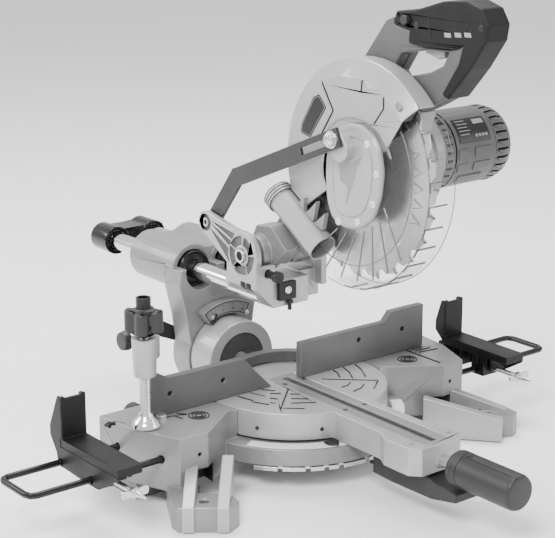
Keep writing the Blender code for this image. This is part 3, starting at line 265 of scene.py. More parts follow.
M = {
    "casting": finish("casting_paint", grey(0.225, 0.006), 0.38, 0.35, 0.07, 18.0, 0.22, 1500.0,
                      wear=grey(0.66), wear_amount=0.8, coat=0.15),
    "pale_casting": finish("pale_casting", grey(0.36, 0.006), 0.36, 0.35, 0.06, 20.0, 0.20,
                           1500.0, wear=grey(0.80), wear_amount=0.7, coat=0.15),
    # pocket: near-black painted shade for the inside of recesses, bores, slots and gaps
    "pocket": finish("casting_pocket_painted_shade", grey(0.010), 0.75, 0.0, 0.25, 60.0, 0.4, 900.0,
                     specular=0.2),
    # line: dark painted shade for the walls of engraved lines, holes, openings and steps cut in
    # castings
    "line": finish("casting_line_painted_shade", grey(0.050), 0.6, 0.1, 0.15, 60.0, 0.3, 1200.0,
                   specular=0.3),
    # recess: darkened casting grey, painted shade for the walls and floors of pockets
    "recess": finish("casting_recess_painted_shade", grey(0.105), 0.55, 0.2, 0.12, 60.0, 0.3, 1200.0),
    "scale_grey": finish("scale_grey", grey(0.21), 0.38, 0.3, 0.05, 40.0, 0.12, 1000.0,
                         wear=grey(0.55), wear_amount=0.6),
    "fence": finish("fence_paint", grey(0.088, 0.006), 0.42, 0.2, 0.08, 26.0, 0.25, 1300.0,
                    wear=grey(0.42), wear_amount=0.7),
    "coat": finish("dark_coat", grey(0.0065, 0.005), 0.45, 0.05, 0.14, 30.0, 0.3, 1200.0,
                   wear=grey(0.08), wear_amount=0.6, specular=0.25),
    "loop": finish("loop_steel", grey(0.020), 0.26, 0.6, 0.22, 40.0, 0.15, 800.0,
                   wear=grey(0.25), wear_amount=0.3),
    "link": finish("link_steel", grey(0.034), 0.36, 0.3, 0.10, 34.0, 0.2, 1100.0,
                   wear=grey(0.30), wear_amount=0.7, specular=0.4),
    "chrome": finish("chrome_plate", grey(0.80), 0.10, 1.0, 0.05, 14.0, 0.05, 600.0,
                     0.00003, spread=0.06),
    "steel": brushed("bright_steel", 0.62, 0.30, (1.0, 1.0, 14.0), grey(0.85)),
    "screw": finish("screw_zinc", grey(0.60), 0.28, 0.9, 0.14, 120.0, 0.2, 1600.0,
                    wear=grey(0.85), wear_amount=0.6),
    "cover_screw": finish("cover_screw", grey(0.80), 0.30, 0.2, 0.08, 120.0, 0.2, 1600.0),
    "dark_screw": finish("screw_black", grey(0.014), 0.38, 0.4, 0.2, 150.0, 0.25, 1500.0,
                         wear=grey(0.16), wear_amount=0.6, specular=0.35),
    "spring": finish("spring_steel", grey(0.020), 0.32, 0.6, 0.2, 140.0, 0.2, 1200.0,
                     wear=grey(0.20), wear_amount=0.35),
    "grey_plastic": finish("grey_moulding", grey(0.072, 0.006), 0.46, 0.0, 0.07, 30.0, 0.45,
                           2300.0, 0.00018, wear=grey(0.17), wear_amount=0.35),
    "knob": finish("knob_moulding", grey(0.019, 0.003), 0.44, 0.0, 0.07, 30.0, 0.4, 2100.0,
                   0.00018, wear=grey(0.11), wear_amount=0.4, specular=0.4),
    "black": finish("black_moulding", grey(0.0045), 0.42, 0.0, 0.25, 34.0, 0.4, 2200.0,
                    0.00016, wear=grey(0.03), wear_amount=0.6, specular=0.35),
    "gloss_black": finish("gloss_black", grey(0.0040), 0.17, 0.0, 0.25, 22.0, 0.06, 700.0,
                          coat=0.3, wear=grey(0.03), wear_amount=0.5, specular=0.35),
    "rubber": finish("soft_rubber", grey(0.0055), 0.60, 0.0, 0.22, 44.0, 0.75, 1900.0,
                     0.00022, wear=grey(0.025), wear_amount=0.5, specular=0.25),
    "scale": finish("scale_enamel", grey(0.62), 0.35, 0.05, 0.03, 40.0, 0.08, 900.0,
                    wear=grey(0.45), wear_amount=0.4),
    "ink": finish("scale_ink", grey(0.006), 0.5, 0.0, 0.2, 200.0, 0.1, 900.0, specular=0.3),
    "copper": finish("copper_winding", (0.55, 0.24, 0.11), 0.35, 1.0, 0.2, 260.0, 0.5, 900.0,
                     streak=(1.0, 9.0, 9.0)),
    "clear": clear_plastic("clear_guard"),
    # opaque dark grey for the clear guard's ribs and edges: painted shade where the clear plastic
    # looks dark
    "clear_painted_shade": finish("clear_rib_painted_shade", grey(0.09), 0.16, 0.0, 0.10, 60.0, 0.1, 900.0, coat=0.5),
    "blade": radial_steel("blade_steel", BLADE, 0.52),
    "carbide": finish("carbide", grey(0.16), 0.42, 0.9, 0.15, 300.0, 0.3, 1800.0),
    "label": finish("label_black", grey(0.005), 0.30, 0.0, 0.2, 60.0, 0.1, 1200.0, coat=0.1,
                    specular=0.35),
    "label_grey": finish("label_grey", grey(0.26), 0.35, 0.0, 0.08, 90.0, 0.1, 1200.0),
}
FINISH_OF_SLOT = {
    "casting": "casting", "dark_casting": "fence", "grey_plastic": "grey_plastic",
    "knob_plastic": "knob", "black_plastic": "black", "rubber": "rubber", "chrome": "chrome",
    "steel": "steel", "dark_steel": "coat", "scale": "scale", "clear": "clear",
    "copper": "copper",
}


# ---- mesh helpers ---------------------------------------------------------------
def done(bm, matrix=None):
    """A bmesh, placed and with its faces turned outwards, as a mesh."""
    if matrix is not None:
        bmesh.ops.transform(bm, matrix=matrix, verts=bm.verts)
    bmesh.ops.recalc_face_normals(bm, faces=bm.faces)
    mesh = bpy.data.meshes.new("shape")
    bm.to_mesh(mesh)
    bm.free()
    return mesh


def evaluated(obj):
    """The object's mesh with its modifiers applied; the object is removed."""
    bpy.context.scene.collection.objects.link(obj)
    bpy.context.view_layer.update()
    mesh = bpy.data.meshes.new_from_object(obj.evaluated_get(bpy.context.evaluated_depsgraph_get()))
    bpy.data.objects.remove(obj)
    return mesh


def welded(mesh, matrix=None, distance=0.00001):
    """The mesh with its doubled points joined."""
    bm = bmesh.new()
    bm.from_mesh(mesh)
    bmesh.ops.remove_doubles(bm, verts=bm.verts, dist=distance)
    return done(bm, matrix)


def slab(outline, low, high, axis="Z", holes=()):
    """A flat outline, with holes, made thick from low to high along an axis."""
    curve = bpy.data.curves.new("outline", "CURVE")
    curve.dimensions = "2D"
    curve.fill_mode = "BOTH"
    curve.extrude = (high - low) / 2
    for loop in (outline, *holes):
        spline = curve.splines.new("POLY")
        spline.points.add(len(loop) - 1)
        for point, (a, b) in zip(spline.points, loop):
            point.co = (a, b, 0.0, 1.0)
        spline.use_cyclic_u = True
    up = Matrix.Translation((0.0, 0.0, (low + high) / 2))
    return welded(evaluated(bpy.data.objects.new("outline", curve)), AXES[axis] @ up)


def turned(profile, centre=(0.0, 0.0), axis="Z", sides=48, closed=False):
    """A profile of (radius, height) points swept round an axis."""
    bm = bmesh.new()
    points = [bm.verts.new((r, 0.0, h)) for r, h in profile]
    edges = [bm.edges.new(pair) for pair in zip(points, points[1:])]
    if closed:
        edges.append(bm.edges.new((points[-1], points[0])))
    bmesh.ops.spin(bm, geom=points + edges, cent=(0, 0, 0), axis=(0, 0, 1), angle=2 * pi,
                   steps=sides, use_merge=True)
    bmesh.ops.remove_doubles(bm, verts=bm.verts, dist=0.00001)
    return done(bm, AXES[axis] @ Matrix.Translation((centre[0], centre[1], 0.0)))


def sleeve(outer, inner, low, high, centre=(0.0, 0.0), axis="Z", sides=48):
    """A tube with a square section."""
    return turned([(outer, high), (outer, low), (inner, low), (inner, high)], centre, axis,
                  sides, closed=True)


def puck(radius, low, high, centre=(0.0, 0.0), axis="Z", sides=32, edge=0.0):
    """A disc with its edges broken by a small chamfer."""
    edge = min(edge, radius / 2, (high - low) / 2.1)
    profile = [(0.0, low), (radius - edge, low), (radius, low + edge), (radius, high - edge),
               (radius - edge, high), (0.0, high)]
    return turned(profile, centre, axis, sides)


def block(low, high, matrix=None):
    """A box between two corners."""
    bm = bmesh.new()
    bmesh.ops.create_cube(bm, size=1.0)
    low, high = Vector(low), Vector(high)
    place = Matrix.Translation((low + high) / 2) @ Matrix.Diagonal((*(high - low), 1.0))
    return done(bm, place if matrix is None else matrix @ place)


def tube(points, radius, resolution=5, cyclic=False):
    """A round tube through points."""
    curve = bpy.data.curves.new("tube", "CURVE")
    curve.dimensions = "3D"
    curve.bevel_depth = radius
    curve.bevel_resolution = resolution
    curve.use_fill_caps = not cyclic
    spline = curve.splines.new("POLY")
    spline.points.add(len(points) - 1)
    for point, place in zip(spline.points, points):
        point.co = (*place, 1.0)
    spline.use_cyclic_u = cyclic
    return welded(evaluated(bpy.data.objects.new("tube", curve)))


def arc(centre, radius, start, end, steps):
    """Points along an arc, in degrees counter-clockwise from the first axis."""
    points = []
    for i in range(steps + 1):
        angle = radians(start + (end - start) * i / steps)
        points.append((centre[0] + radius * cos(angle), centre[1] + radius * sin(angle)))
    return points


def sector(centre, inner, outer, start, end, steps):
    """The outline of a piece of a flat ring."""
    return arc(centre, outer, start, end, steps) + arc(centre, inner, end, start, steps)


def bar(first, last, half_first, half_last=None, ends=6):
    """The outline of a bar between two points, with round ends."""
    half_last = half_first if half_last is None else half_last
    along = degrees(atan2(last[1] - first[1], last[0] - first[0]))
    return (arc(last, half_last, along - 90, along + 90, ends)
            + arc(first, half_first, along + 90, along + 270, ends))


def inset(outline, amount):
    """A convex or gently bent outline moved inwards by an amount."""
    area = sum(a[0] * b[1] - b[0] * a[1] for a, b in zip(outline, outline[1:] + outline[:1]))
    side = amount if area > 0 else -amount
    moved = []
    for i, point in enumerate(outline):
        before = Vector(point) - Vector(outline[i - 1])
        after = Vector(outline[(i + 1) % len(outline)]) - Vector(point)
        first = Vector((-before.y, before.x)).normalized()
        second = Vector((-after.y, after.x)).normalized()
        bisector = (first + second).normalized()
        moved.append(tuple(Vector(point) + bisector * side / max(0.35, bisector.dot(first))))
    return moved


def rounded_corners(outline, radius, steps=4):
    """The outline with each corner replaced by a small curve."""
    result = []
    for i, point in enumerate(outline):
        corner = Vector(point)
        before = Vector(outline[i - 1]) - corner
        after = Vector(outline[(i + 1) % len(outline)]) - corner
        reach = min(radius, before.length * 0.45, after.length * 0.45)
        start = corner + before.normalized() * reach
        end = corner + after.normalized() * reach
        for k in range(steps + 1):
            t = k / steps
            result.append(tuple(start * (1 - t) ** 2 + corner * 2 * t * (1 - t) + end * t ** 2))
    return result


def carved(mesh, adds=(), cuts=(), lining=None):
    """The mesh with others joined to it or cut from it; cut faces take the lining."""
    obj = bpy.data.objects.new("carving", mesh)
    tools = []
    for operation, group in (("UNION", adds), ("DIFFERENCE", cuts)):
        for shape in group:
            if operation == "DIFFERENCE" and lining:
                shape.materials.append(lining)
            tool = bpy.data.objects.new("tool", shape)
            bpy.context.scene.collection.objects.link(tool)
            tools.append(tool)
            modifier = obj.modifiers.new(operation, "BOOLEAN")
            modifier.operation = operation
            modifier.solver = "EXACT"
            modifier.material_mode = "TRANSFER"
            modifier.object = tool
    result = evaluated(obj)
    for tool in tools:
        bpy.data.objects.remove(tool)
    return result


def joined(*meshes):
    """Several separate shapes as one mesh."""
    bm = bmesh.new()
    for mesh in meshes:
        bm.from_mesh(mesh)
    return done(bm)


def turned_about(mesh, centre, angle, axis="X"):
    """The mesh turned about a line through a point, in degrees."""
    place = Matrix.Translation(centre)
    mesh.transform(place @ Matrix.Rotation(radians(angle), 4, axis) @ place.inverted())
    return mesh


def show(name, mesh, body, finish_name, bevel=0.0, sharp=32):
    """Make a shown piece that rides on a body."""
    if not mesh.materials:
        mesh.materials.append(M[finish_name])
    elif mesh.materials[0] is None:
        mesh.materials[0] = M[finish_name]
    obj = bpy.data.objects.new(name, mesh)
    bpy.context.scene.collection.objects.link(obj)
    mesh.shade_smooth()
    mesh.set_sharp_from_angle(angle=radians(sharp))
    if bevel:
        soften(obj, bevel)
    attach(obj, body)
    return obj


def soften(obj, width):
    """Round the object's sharp edges, keeping its flat faces flat."""
    modifier = obj.modifiers.new("Bevel", "BEVEL")
    modifier.width = width
    modifier.segments = 2
    modifier.limit_method = "ANGLE"
    modifier.angle_limit = radians(38)
    modifier.use_clamp_overlap = False
    normals = obj.modifiers.new("Normals", "WEIGHTED_NORMAL")
    normals.keep_sharp = True


def cad_mesh(node):
    """A clean copy of a CAD node's mesh."""
    bm = bmesh.new()
    bm.from_mesh(NODES[node].data)
    bmesh.ops.remove_doubles(bm, verts=bm.verts, dist=0.00002)
    return done(bm)


# By default the faces of the cuts take the near-black painted shade of the pocket finish.
def remade(node, finish_name=None, bevel=0.0008, adds=(), cuts=(), lining="pocket"):
    """Replace a CAD node by a copy with carvings and rounded edges."""
    name = finish_name or FINISH_OF_SLOT[SLOT_OF[node]]
    mesh = cad_mesh(node)
    mesh.materials.clear()
    mesh.materials.append(M[name])
    for shape in adds:
        shape.materials.append(M[name])
    if adds or cuts:
        mesh = carved(mesh, adds, cuts, M[lining])
    obj = show(node + "_body", mesh, NODES[node]["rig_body"], name, bevel)
    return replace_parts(obj, node)


def instead(node, mesh, finish_name=None, bevel=0.0, sharp=32, name=None):
    """Replace a CAD node by a new mesh."""
    finish_name = finish_name or FINISH_OF_SLOT[SLOT_OF[node]]
    obj = show(name or node + "_body", mesh, NODES[node]["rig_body"], finish_name,
               bevel, sharp)
    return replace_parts(obj, node)


def screw_head(centre, direction, radius, height=0.0018, drive="cross"):
    """A domed screw head with a drive recess, its top pointing along a direction."""
    dome = [(0.0, -height * 0.5), (radius, -height * 0.5), (radius, height * 0.35),
            (radius * 0.86, height * 0.75), (radius * 0.5, height * 0.97), (0.0, height)]
    mesh = turned(dome, sides=20)
    if drive == "hex":
        mesh = carved(mesh, cuts=[turned([(0.0, height * 0.2), (radius * 0.48, height * 0.2),
                                          (radius * 0.48, height * 2), (0.0, height * 2)],
                                         sides=6)])
    else:
        arms = [block((-radius * 0.62, -radius * 0.13, height * 0.3),
                      (radius * 0.62, radius * 0.13, height * 2))]
        if drive == "cross":
            arms.append(block((-radius * 0.13, -radius * 0.62, height * 0.3),
                              (radius * 0.13, radius * 0.62, height * 2)))
        mesh = carved(mesh, cuts=arms)
    turn = Vector(direction).to_track_quat("Z", "Y").to_matrix().to_4x4()
    mesh.transform(Matrix.Translation(centre) @ turn)
    return mesh


def bolt_circle(centre, radius, count, start, direction, size, height=0.0018, drive="cross"):
    """Screw heads on a circle round the X axis."""
    heads = []
    for i in range(count):
        angle = radians(start + 360 * i / count)
        place = (centre[0], centre[1] + radius * cos(angle), centre[2] + radius * sin(angle))
        heads.append(screw_head(place, direction, size, height, drive))
    return joined(*heads)


def from_blade(radius, angle):
    """The (y, z) at a distance and an angle from the blade's axis, 0 at the front."""
    return (BLADE.y - radius * cos(radians(angle)), BLADE.z + radius * sin(radians(angle)))


def strip(points, half):
    """The outline of a thin band along a bent line."""
    left = []
    right = []
    for i, point in enumerate(points):
        before = Vector(points[max(0, i - 1)])
        after = Vector(points[min(len(points) - 1, i + 1)])
        across = Vector((before.y - after.y, after.x - before.x)).normalized() * half
        left.append(tuple(Vector(point) + across))
        right.append(tuple(Vector(point) - across))
    return left + right[::-1]


def mirrored(outline, side):
    """The outline on the left for side -1, on the right for side 1."""
    return [(side * x, y) for x, y in outline]


def digits(text, size, matrix):
    """A number, flat and thin, standing on its own plane."""
    curve = bpy.data.curves.new("digits", "FONT")
    curve.body = text
    curve.size = size
    curve.align_x = "CENTER"
    curve.align_y = "CENTER"
    curve.extrude = 0.00012
    return welded(evaluated(bpy.data.objects.new("digits", curve)), matrix)


def grooves(lines, low, high, half=0.00045, axis="Z"):
    """Cutters for a set of engraved lines."""
    return joined(*[slab(strip(line, half), low, high, axis) for line in lines])


def hexagon(radius, low, high, centre, axis="Z"):
    """A six-sided nut or bolt head."""
    ring = arc(centre, radius, 0, 300, 5)
    return slab(ring, low, high, axis)


def wing_nut(centre, axis_sign, reach, side):
    """A wing nut turning about a line along Y, its ears along X."""
    x, y, z = centre
    hub = puck(0.0052, y - 0.0030, y + 0.0030, (x, z), "Y", 20, 0.0008)
    shapes = [hub]
    for ear in (-1, 1):
        outline = [(x + ear * 0.0030, z - 0.0030), (x + ear * reach, z - 0.0036 + side * 0.0005),
                   (x + ear * (reach + 0.0014), z + 0.0006), (x + ear * reach, z + 0.0042),
                   (x + ear * 0.0030, z + 0.0032)]
        shapes.append(slab(rounded_corners(outline, 0.0016), y - 0.0011 + axis_sign * 0.0008,
                           y + 0.0011 + axis_sign * 0.0008, "Y"))
    return joined(*shapes)


# ---- base -----------------------------------------------------------------------
def wing_marks(side):
    """Lines and a ring engraved in one wing's top."""
    if side > 0:
        lines = [[(0.1608, -0.0020), (0.1606, -0.0547)], [(0.1673, -0.0030), (0.1813, -0.0042)],
                 [(0.1670, -0.0090), (0.1876, -0.0107)], [(0.1666, -0.0150), (0.1912, -0.0183)]]
        ring = (0.1409, -0.0240)
    else:
        lines = [[(-0.1661, -0.0061), (-0.1600, -0.0060), (-0.1558, -0.0090), (-0.1544, -0.0187)],
                 [(-0.1505, -0.0030), (-0.1450, -0.0110)]]
        ring = (-0.1367, -0.0215)
    cutters = [grooves(lines, TABLE_Z - 0.0004, TABLE_Z + 0.002, 0.0003)]
    for radius in (0.0105, 0.0072, 0.0040):
        cutters.append(sleeve(radius, radius - 0.0005, TABLE_Z - 0.0004, TABLE_Z + 0.002, ring,
                              "Z", 40))
    return joined(*cutters)


def wedge(first, last, half, high_first, high_last):
    """A wall between two points on the bench, with a sloping top."""
    first, last = Vector(first), Vector(last)
    side = Vector((first.y - last.y, last.x - first.x)).normalized() * half
    bm = bmesh.new()
    rings = []
    for point, high in ((first, high_first), (last, high_last)):
        corners = ((point + side, 0.0012), (point - side, 0.0012), (point - side, high),
                   (point + side, high))
        rings.append([bm.verts.new((corner.x, corner.y, z)) for corner, z in corners])
    for i in range(4):
        k = (i + 1) % 4
        bm.faces.new((rings[0][i], rings[0][k], rings[1][k], rings[1][i]))
    for ring in rings:
        bm.faces.new(ring)
    return done(bm)


def foot_gap(side):
    """The opening between a front foot's two ribs, behind its pad."""
    gap = [(0.1690, -0.0660), (0.1805, -0.0800), (0.1660, -0.0935), (0.1480, -0.0720),
           (0.1440, -0.0400), (0.1600, -0.0400)]
    return slab(mirrored(gap, side), -0.010, 0.0395)


def foot_ribs(side):
    """The two sloping ribs from a wing down to its front foot."""
    outer = wedge((side * 0.1730, -0.0600), (side * 0.2115, -0.1065), 0.0058, 0.0450, 0.0262)
    inner = wedge((side * 0.1310, -0.0615), (side * 0.1855, -0.1265), 0.0058, 0.0450, 0.0262)
    return joined(outer, inner)


def base_looks():
    """The base: engraved wings, foot ribs, scale, detent plate and fence."""
    cuts = [wing_marks(side) for side in (-1, 1)]
    cuts += [foot_gap(side) for side in (-1, 1)]
    for side, x in ((-1, -0.1663), (1, 0.1674)):
        cuts.append(puck(0.0017, -0.070, -0.058, (x, 0.0548), "Y", 16))
    # The cut faces of the marks, foot gaps and holes take the dark line finish: painted shade in
    # them.
    remade("base_casting", bevel=0.0012, cuts=cuts, lining="line")
    for side, name in ((-1, "left"), (1, "right")):
        show("foot_ribs_" + name, foot_ribs(side), "base", "pale_casting", 0.0009)
    remade("detent_plate", "steel", 0.0003)
    remade("miter_scale_plate", "scale", 0.0002)
    low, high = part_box("miter_scale_plate")
    outer = max(abs(low.x), high.x)
    marks = []
    for degree in range(-52, 53):
        length = 0.0042 if degree % 15 == 0 else 0.0030 if degree % 5 == 0 else 0.0017
        turn = Matrix.Rotation(radians(degree), 4, "Z")
        marks.append(block((-0.00013, -outer + 0.0010, high.z - 0.0001),
                           (0.00013, -outer + 0.0010 + length, high.z + 0.00012), turn))
    for degree, text in ((-45, "45"), (-30, "30"), (-22.5, "22.5"), (-15, "15"), (0, "0"),
                         (15, "15"), (22.5, "22.5"), (30, "30"), (45, "45")):
        place = (Matrix.Rotation(radians(degree), 4, "Z")
                 @ Matrix.Translation((0.0, -outer + 0.0078, high.z)))
        marks.append(digits(text, 0.0036, place))
    show("miter_scale_marks", joined(*marks), "base", "ink")
    fence_looks()


def fence_looks():
    """The fence, its edges broken, with dark bolts deep in its holes."""
    remade("fence", "fence", 0.0007)
    bolts = [puck(0.0026, 0.0030, 0.0044, place, "Y", 16)
             for place in ((-0.1557, 0.096), (-0.0904, 0.0955), (0.0918, 0.101), (0.1549, 0.101))]
    show("fence_bolts", joined(*bolts), "base", "dark_screw")


# ---- turntable and its controls ---------------------------------------------------
def table_marks():
    """Lines engraved in the round table top, different on the two sides of the slot."""
    lines = [
        [(0.0267, -0.0154), (0.0703, -0.0558), (0.0500, -0.0709)],
        [(0.0544, -0.0020), (0.0520, -0.0120), (0.0454, -0.0229)],
        [(0.0685, -0.0020), (0.0631, -0.0186), (0.0540, -0.0334)],
        [(0.0851, -0.0023), (0.0787, -0.0199), (0.0683, -0.0375)],
        [(0.0268, -0.0475), (0.0350, -0.0470), (0.0425, -0.0423)],
        [(0.0284, -0.0642), (0.0400, -0.0620), (0.0500, -0.0554)],
        [(-0.0201, -0.0172), (-0.0607, -0.0560), (-0.0432, -0.0719)],
        [(-0.0432, -0.0162), (-0.0345, -0.0232)], [(-0.0282, -0.0302), (-0.0202, -0.0366)],
        [(-0.0515, -0.0267), (-0.0473, -0.0334)], [(-0.0355, -0.0408), (-0.0235, -0.0523)],
        [(-0.0441, -0.0514), (-0.0230, -0.0655)], [(-0.0599, -0.0374), (-0.0563, -0.0417)],
        [(-0.0425, -0.0020), (-0.0341, -0.0130)], [(-0.0580, -0.0020), (-0.0520, -0.0200)],
        [(-0.0738, -0.0020), (-0.0695, -0.0215)], [(-0.0722, -0.0240), (-0.0640, -0.0409)],
    ]
    return grooves(lines, TABLE_Z - 0.0004, TABLE_Z + 0.002, 0.0003)


def turntable_looks():
    """The table with its marks and drum, the insert, and the controls below its arm."""
    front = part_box("turntable_casting")[0].y
    shaft = middle("miter_lock_shaft")
    moon = slab(arc((BEVEL.x, BEVEL.z), 0.0295, 0, 180, 24), 0.0860, 0.0895, "Y")
    side_step = [block((s * 0.0385, front + 0.040, 0.0), (s * 0.0440, front + 0.0412, 0.09))
                 for s in (-1, 1)]
    # The cut faces of the marks, the drum's recess and the side steps take the dark line finish:
    # painted shade.
    remade("turntable_casting", "pale_casting", 0.0011,
           adds=[sleeve(0.0075, 0.0050, front - 0.0016, front + 0.002, (shaft.x, shaft.z), "Y")],
           cuts=[table_marks(), moon, joined(*side_step)], lining="line")
    remade("kerf_insert", "casting", 0.0004)
    # A near-black sheet at the bottom of the kerf slot: painted shade in the slot.
    floor = block((-0.0043, -0.2120, 0.0668), (0.0043, 0.0120, 0.0678))
    show("kerf_slot_painted_shade", floor, "turntable", "pocket", 0.0002)
    rows = [(s * 0.0128, y) for s in (-1, 1) for y in (-0.003, -0.099)]
    rows += [(s * 0.024, -0.207) for s in (-1, 1)]
    heads = [screw_head((x, y, TABLE_Z - 0.0006), (0, 0, 1), 0.0030, 0.0007) for x, y in rows]
    show("table_screws", joined(*heads), "turntable", "dark_screw")
    pointer = [(-0.0420, -0.1000), (-0.0285, -0.1000), (-0.0285, -0.1085), (-0.0330, -0.1130),
               (-0.0352, -0.1160), (-0.0374, -0.1130), (-0.0420, -0.1085)]
    plate = slab(rounded_corners(pointer, 0.0016), 0.0469, 0.0487)
    show("miter_pointer", plate, "turntable", "black", 0.0004)
    skirt = []
    for angle in (-112, -68, -150, -30):
        out = Vector((cos(radians(angle)), sin(radians(angle)), 0.0))
        place = out * 0.0990 + Vector((0.0, 0.0, 0.058))
        skirt.append(screw_head(place, out, 0.0021, 0.0006))
    show("skirt_screws", joined(*skirt), "turntable", "dark_screw")


def grip_looks():
    """The mitre lock's grip: rings behind the head, a flat and a rounded end."""
    low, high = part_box("miter_lock_grip")
    centre = middle("miter_lock_grip")
    radius = (high.x - low.x) / 2
    profile = [(0.0, low.y), (radius * 0.80, low.y), (radius * 0.93, low.y + 0.0012),
               (radius, low.y + 0.0045), (radius, high.y - 0.0165)]
    for i in range(4):
        y = high.y - 0.0160 + i * 0.0022
        profile += [(radius * 0.965, y), (radius * 0.965, y + 0.0009), (radius, y + 0.0012),
                    (radius, y + 0.0020)]
    profile += [(radius, high.y - 0.0060), (radius * 0.86, high.y - 0.0030),
                (radius * 0.55, high.y - 0.0004), (radius * 0.40, high.y), (0.0, high.y)]
    flat = block((centre.x - 0.0060, low.y - 0.001, high.z - 0.0016),
                 (centre.x + 0.0060, high.y - 0.020, high.z + 0.002))
    grip = carved(turned(profile, (centre.x, centre.z), "Y", 64), cuts=[flat])
    instead("miter_lock_grip", grip, "knob", 0.0008)
    remade("miter_lock_shaft", "steel", 0.0004)
    remade("detent_lever", "knob", 0.0012)
    low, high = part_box("detent_lever")
    ribs = [block((-0.0085, low.y + 0.004 + i * 0.0036, high.z - 0.0010),
                  (0.0085, low.y + 0.0056 + i * 0.0036, high.z + 0.0002)) for i in range(3)]
    show("detent_lever_ribs", joined(*ribs), "detent", "knob", 0.0003)


# ---- bevel arm and rails ----------------------------------------------------------
def bevel_looks():
    """The bevel arm, its lever and scale plate with ticks and numbers."""
    low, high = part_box("bevel_scale_plate")
    outer = high.z - BEVEL.z
    remade("arm_casting", "casting", 0.0014)
    remade("bevel_scale_plate", "scale_grey", 0.0003)
    marks = []
    for degree in range(-5, 51, 5):
        length = 0.0052 if degree % 45 == 0 else 0.0036 if degree % 15 == 0 else 0.0022
        turn = (Matrix.Translation(BEVEL) @ Matrix.Rotation(radians(degree - 23.0), 4, "Y"))
        marks.append(block((-0.00016, low.y - 0.00012 - BEVEL.y, outer - 0.0012 - length),
                           (0.00016, low.y + 0.0001 - BEVEL.y, outer - 0.0012), turn))
    for degree in (0, 15, 30, 45):
        place = (Matrix.Translation(BEVEL) @ Matrix.Rotation(radians(degree - 23.0), 4, "Y")
                 @ Matrix.Translation((0.0, low.y - BEVEL.y, outer - 0.0092))
                 @ Matrix.Rotation(radians(90), 4, "X"))
        marks.append(digits(str(degree), 0.0040, place))
    show("bevel_scale_marks", joined(*marks), "bevel_arm", "ink")
    border = slab(sector((BEVEL.x, BEVEL.z), 0.0478, 0.0600, 61.5, 121.5, 16), low.y - 0.0003,
                  low.y + 0.0002, "Y",
                  holes=[sector((BEVEL.x, BEVEL.z), 0.0485, 0.0593, 62.4, 120.6, 16)])
    show("bevel_scale_border", border, "bevel_arm", "ink")
    pins = []
    for angle in (60.5, 114.0):
        turn = radians(angle)
        place = (BEVEL.x + 0.0500 * cos(turn), low.y - 0.0002, BEVEL.z + 0.0500 * sin(turn))
        pins.append(screw_head(place, (0, -1, 0), 0.0026, 0.0016))
    show("bevel_scale_screws", joined(*pins), "bevel_arm", "screw")
    pointer = strip([(-0.0235, 0.1135), (-0.0195, 0.1185), (-0.0170, 0.1245)], 0.0013)
    show("bevel_pointer", slab(pointer, low.y - 0.0022, low.y - 0.0010, "Y"), "turntable",
         "dark_screw", 0.0002)
    remade("bevel_lock_lever", "knob", 0.0012)
    remade("bevel_pivot_pin", "steel", 0.0004)
    for node in ("rail_bushing_left", "rail_bushing_right"):
        bushing_looks(node)
    remade("rail_lock_knob", "knob", 0.0012)


def bushing_looks(node):
    """A bushing's front: a raised lip and a groove round the rail."""
    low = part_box(node)[0]
    centre = middle(node)
    cut = sleeve(0.0175, 0.0160, low.y - 0.001, low.y + 0.0012, (centre.x, centre.z), "Y")
    remade(node, "gloss_black", 0.0008, cuts=[cut], lining="black")


def rail_looks():
    """The two rails, their end cap and its screws."""
    for node in ("rail_left", "rail_right"):
        remade(node, "chrome", 0.0006)
    low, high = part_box("rail_end_cap")
    cuts = []
    for x in (-RAIL_X, RAIL_X):
        cuts.append(sleeve(0.0145, 0.0132, low.y - 0.001, low.y + 0.0012, (x, RAIL_Z), "Y"))
    remade("rail_end_cap", "gloss_black", 0.0016, cuts=[joined(*cuts)], lining="black")
    heads = [screw_head((x, high.y, RAIL_Z), (0, 1, 0), 0.0042, 0.0016, "hex")
             for x in (-RAIL_X, RAIL_X)]
    show("rail_end_screws", joined(*heads), "carriage", "screw")


# ---- carriage ---------------------------------------------------------------------
def cheek_pockets():
    """Cutters for the truss on the carriage's left cheek: a spoked hub, an arm and a grid."""
    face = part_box("carriage_casting")[0].x
    low, high = face - 0.002, face + 0.0026
    hub = (HEAD.y, HEAD.z)
    link = (LINK.y, LINK.z)
    shapes = []
    for i in range(5):
        shapes.append(slab(sector(hub, 0.0112, 0.0200, 72 * i + 30, 72 * i + 91, 8), low, high,
                           "X"))
    for pocket in ([(0.0775, 0.2395), (0.0375, 0.2335), (0.0420, 0.2275)],
                   [(0.0775, 0.2365), (0.0440, 0.2250), (0.0468, 0.2195)],
                   [(0.0790, 0.2310), (0.0480, 0.2165), (0.0490, 0.2090), (0.0455, 0.2010)]):
        shapes.append(slab(rounded_corners(pocket, 0.0015), low, high, "X"))
    shapes.append(sleeve(0.0088, 0.0052, low, high, link, "X", 32))
    shapes.append(puck(0.0022, low, high + 0.002, link, "X", 16))
    return shapes


def block_pockets():
    """Cutters for the small grid of pockets below the hub."""
    shapes = []
    for row in range(2):
        for column in range(2):
            y = 0.0105 + column * 0.0095
            z = 0.1655 + row * 0.0108
            corners = [(y, z), (y + 0.0080, z), (y + 0.0080, z + 0.0093), (y, z + 0.0093)]
            shapes.append(slab(rounded_corners(corners, 0.0012), -0.0500, -0.0390, "X"))
    return shapes


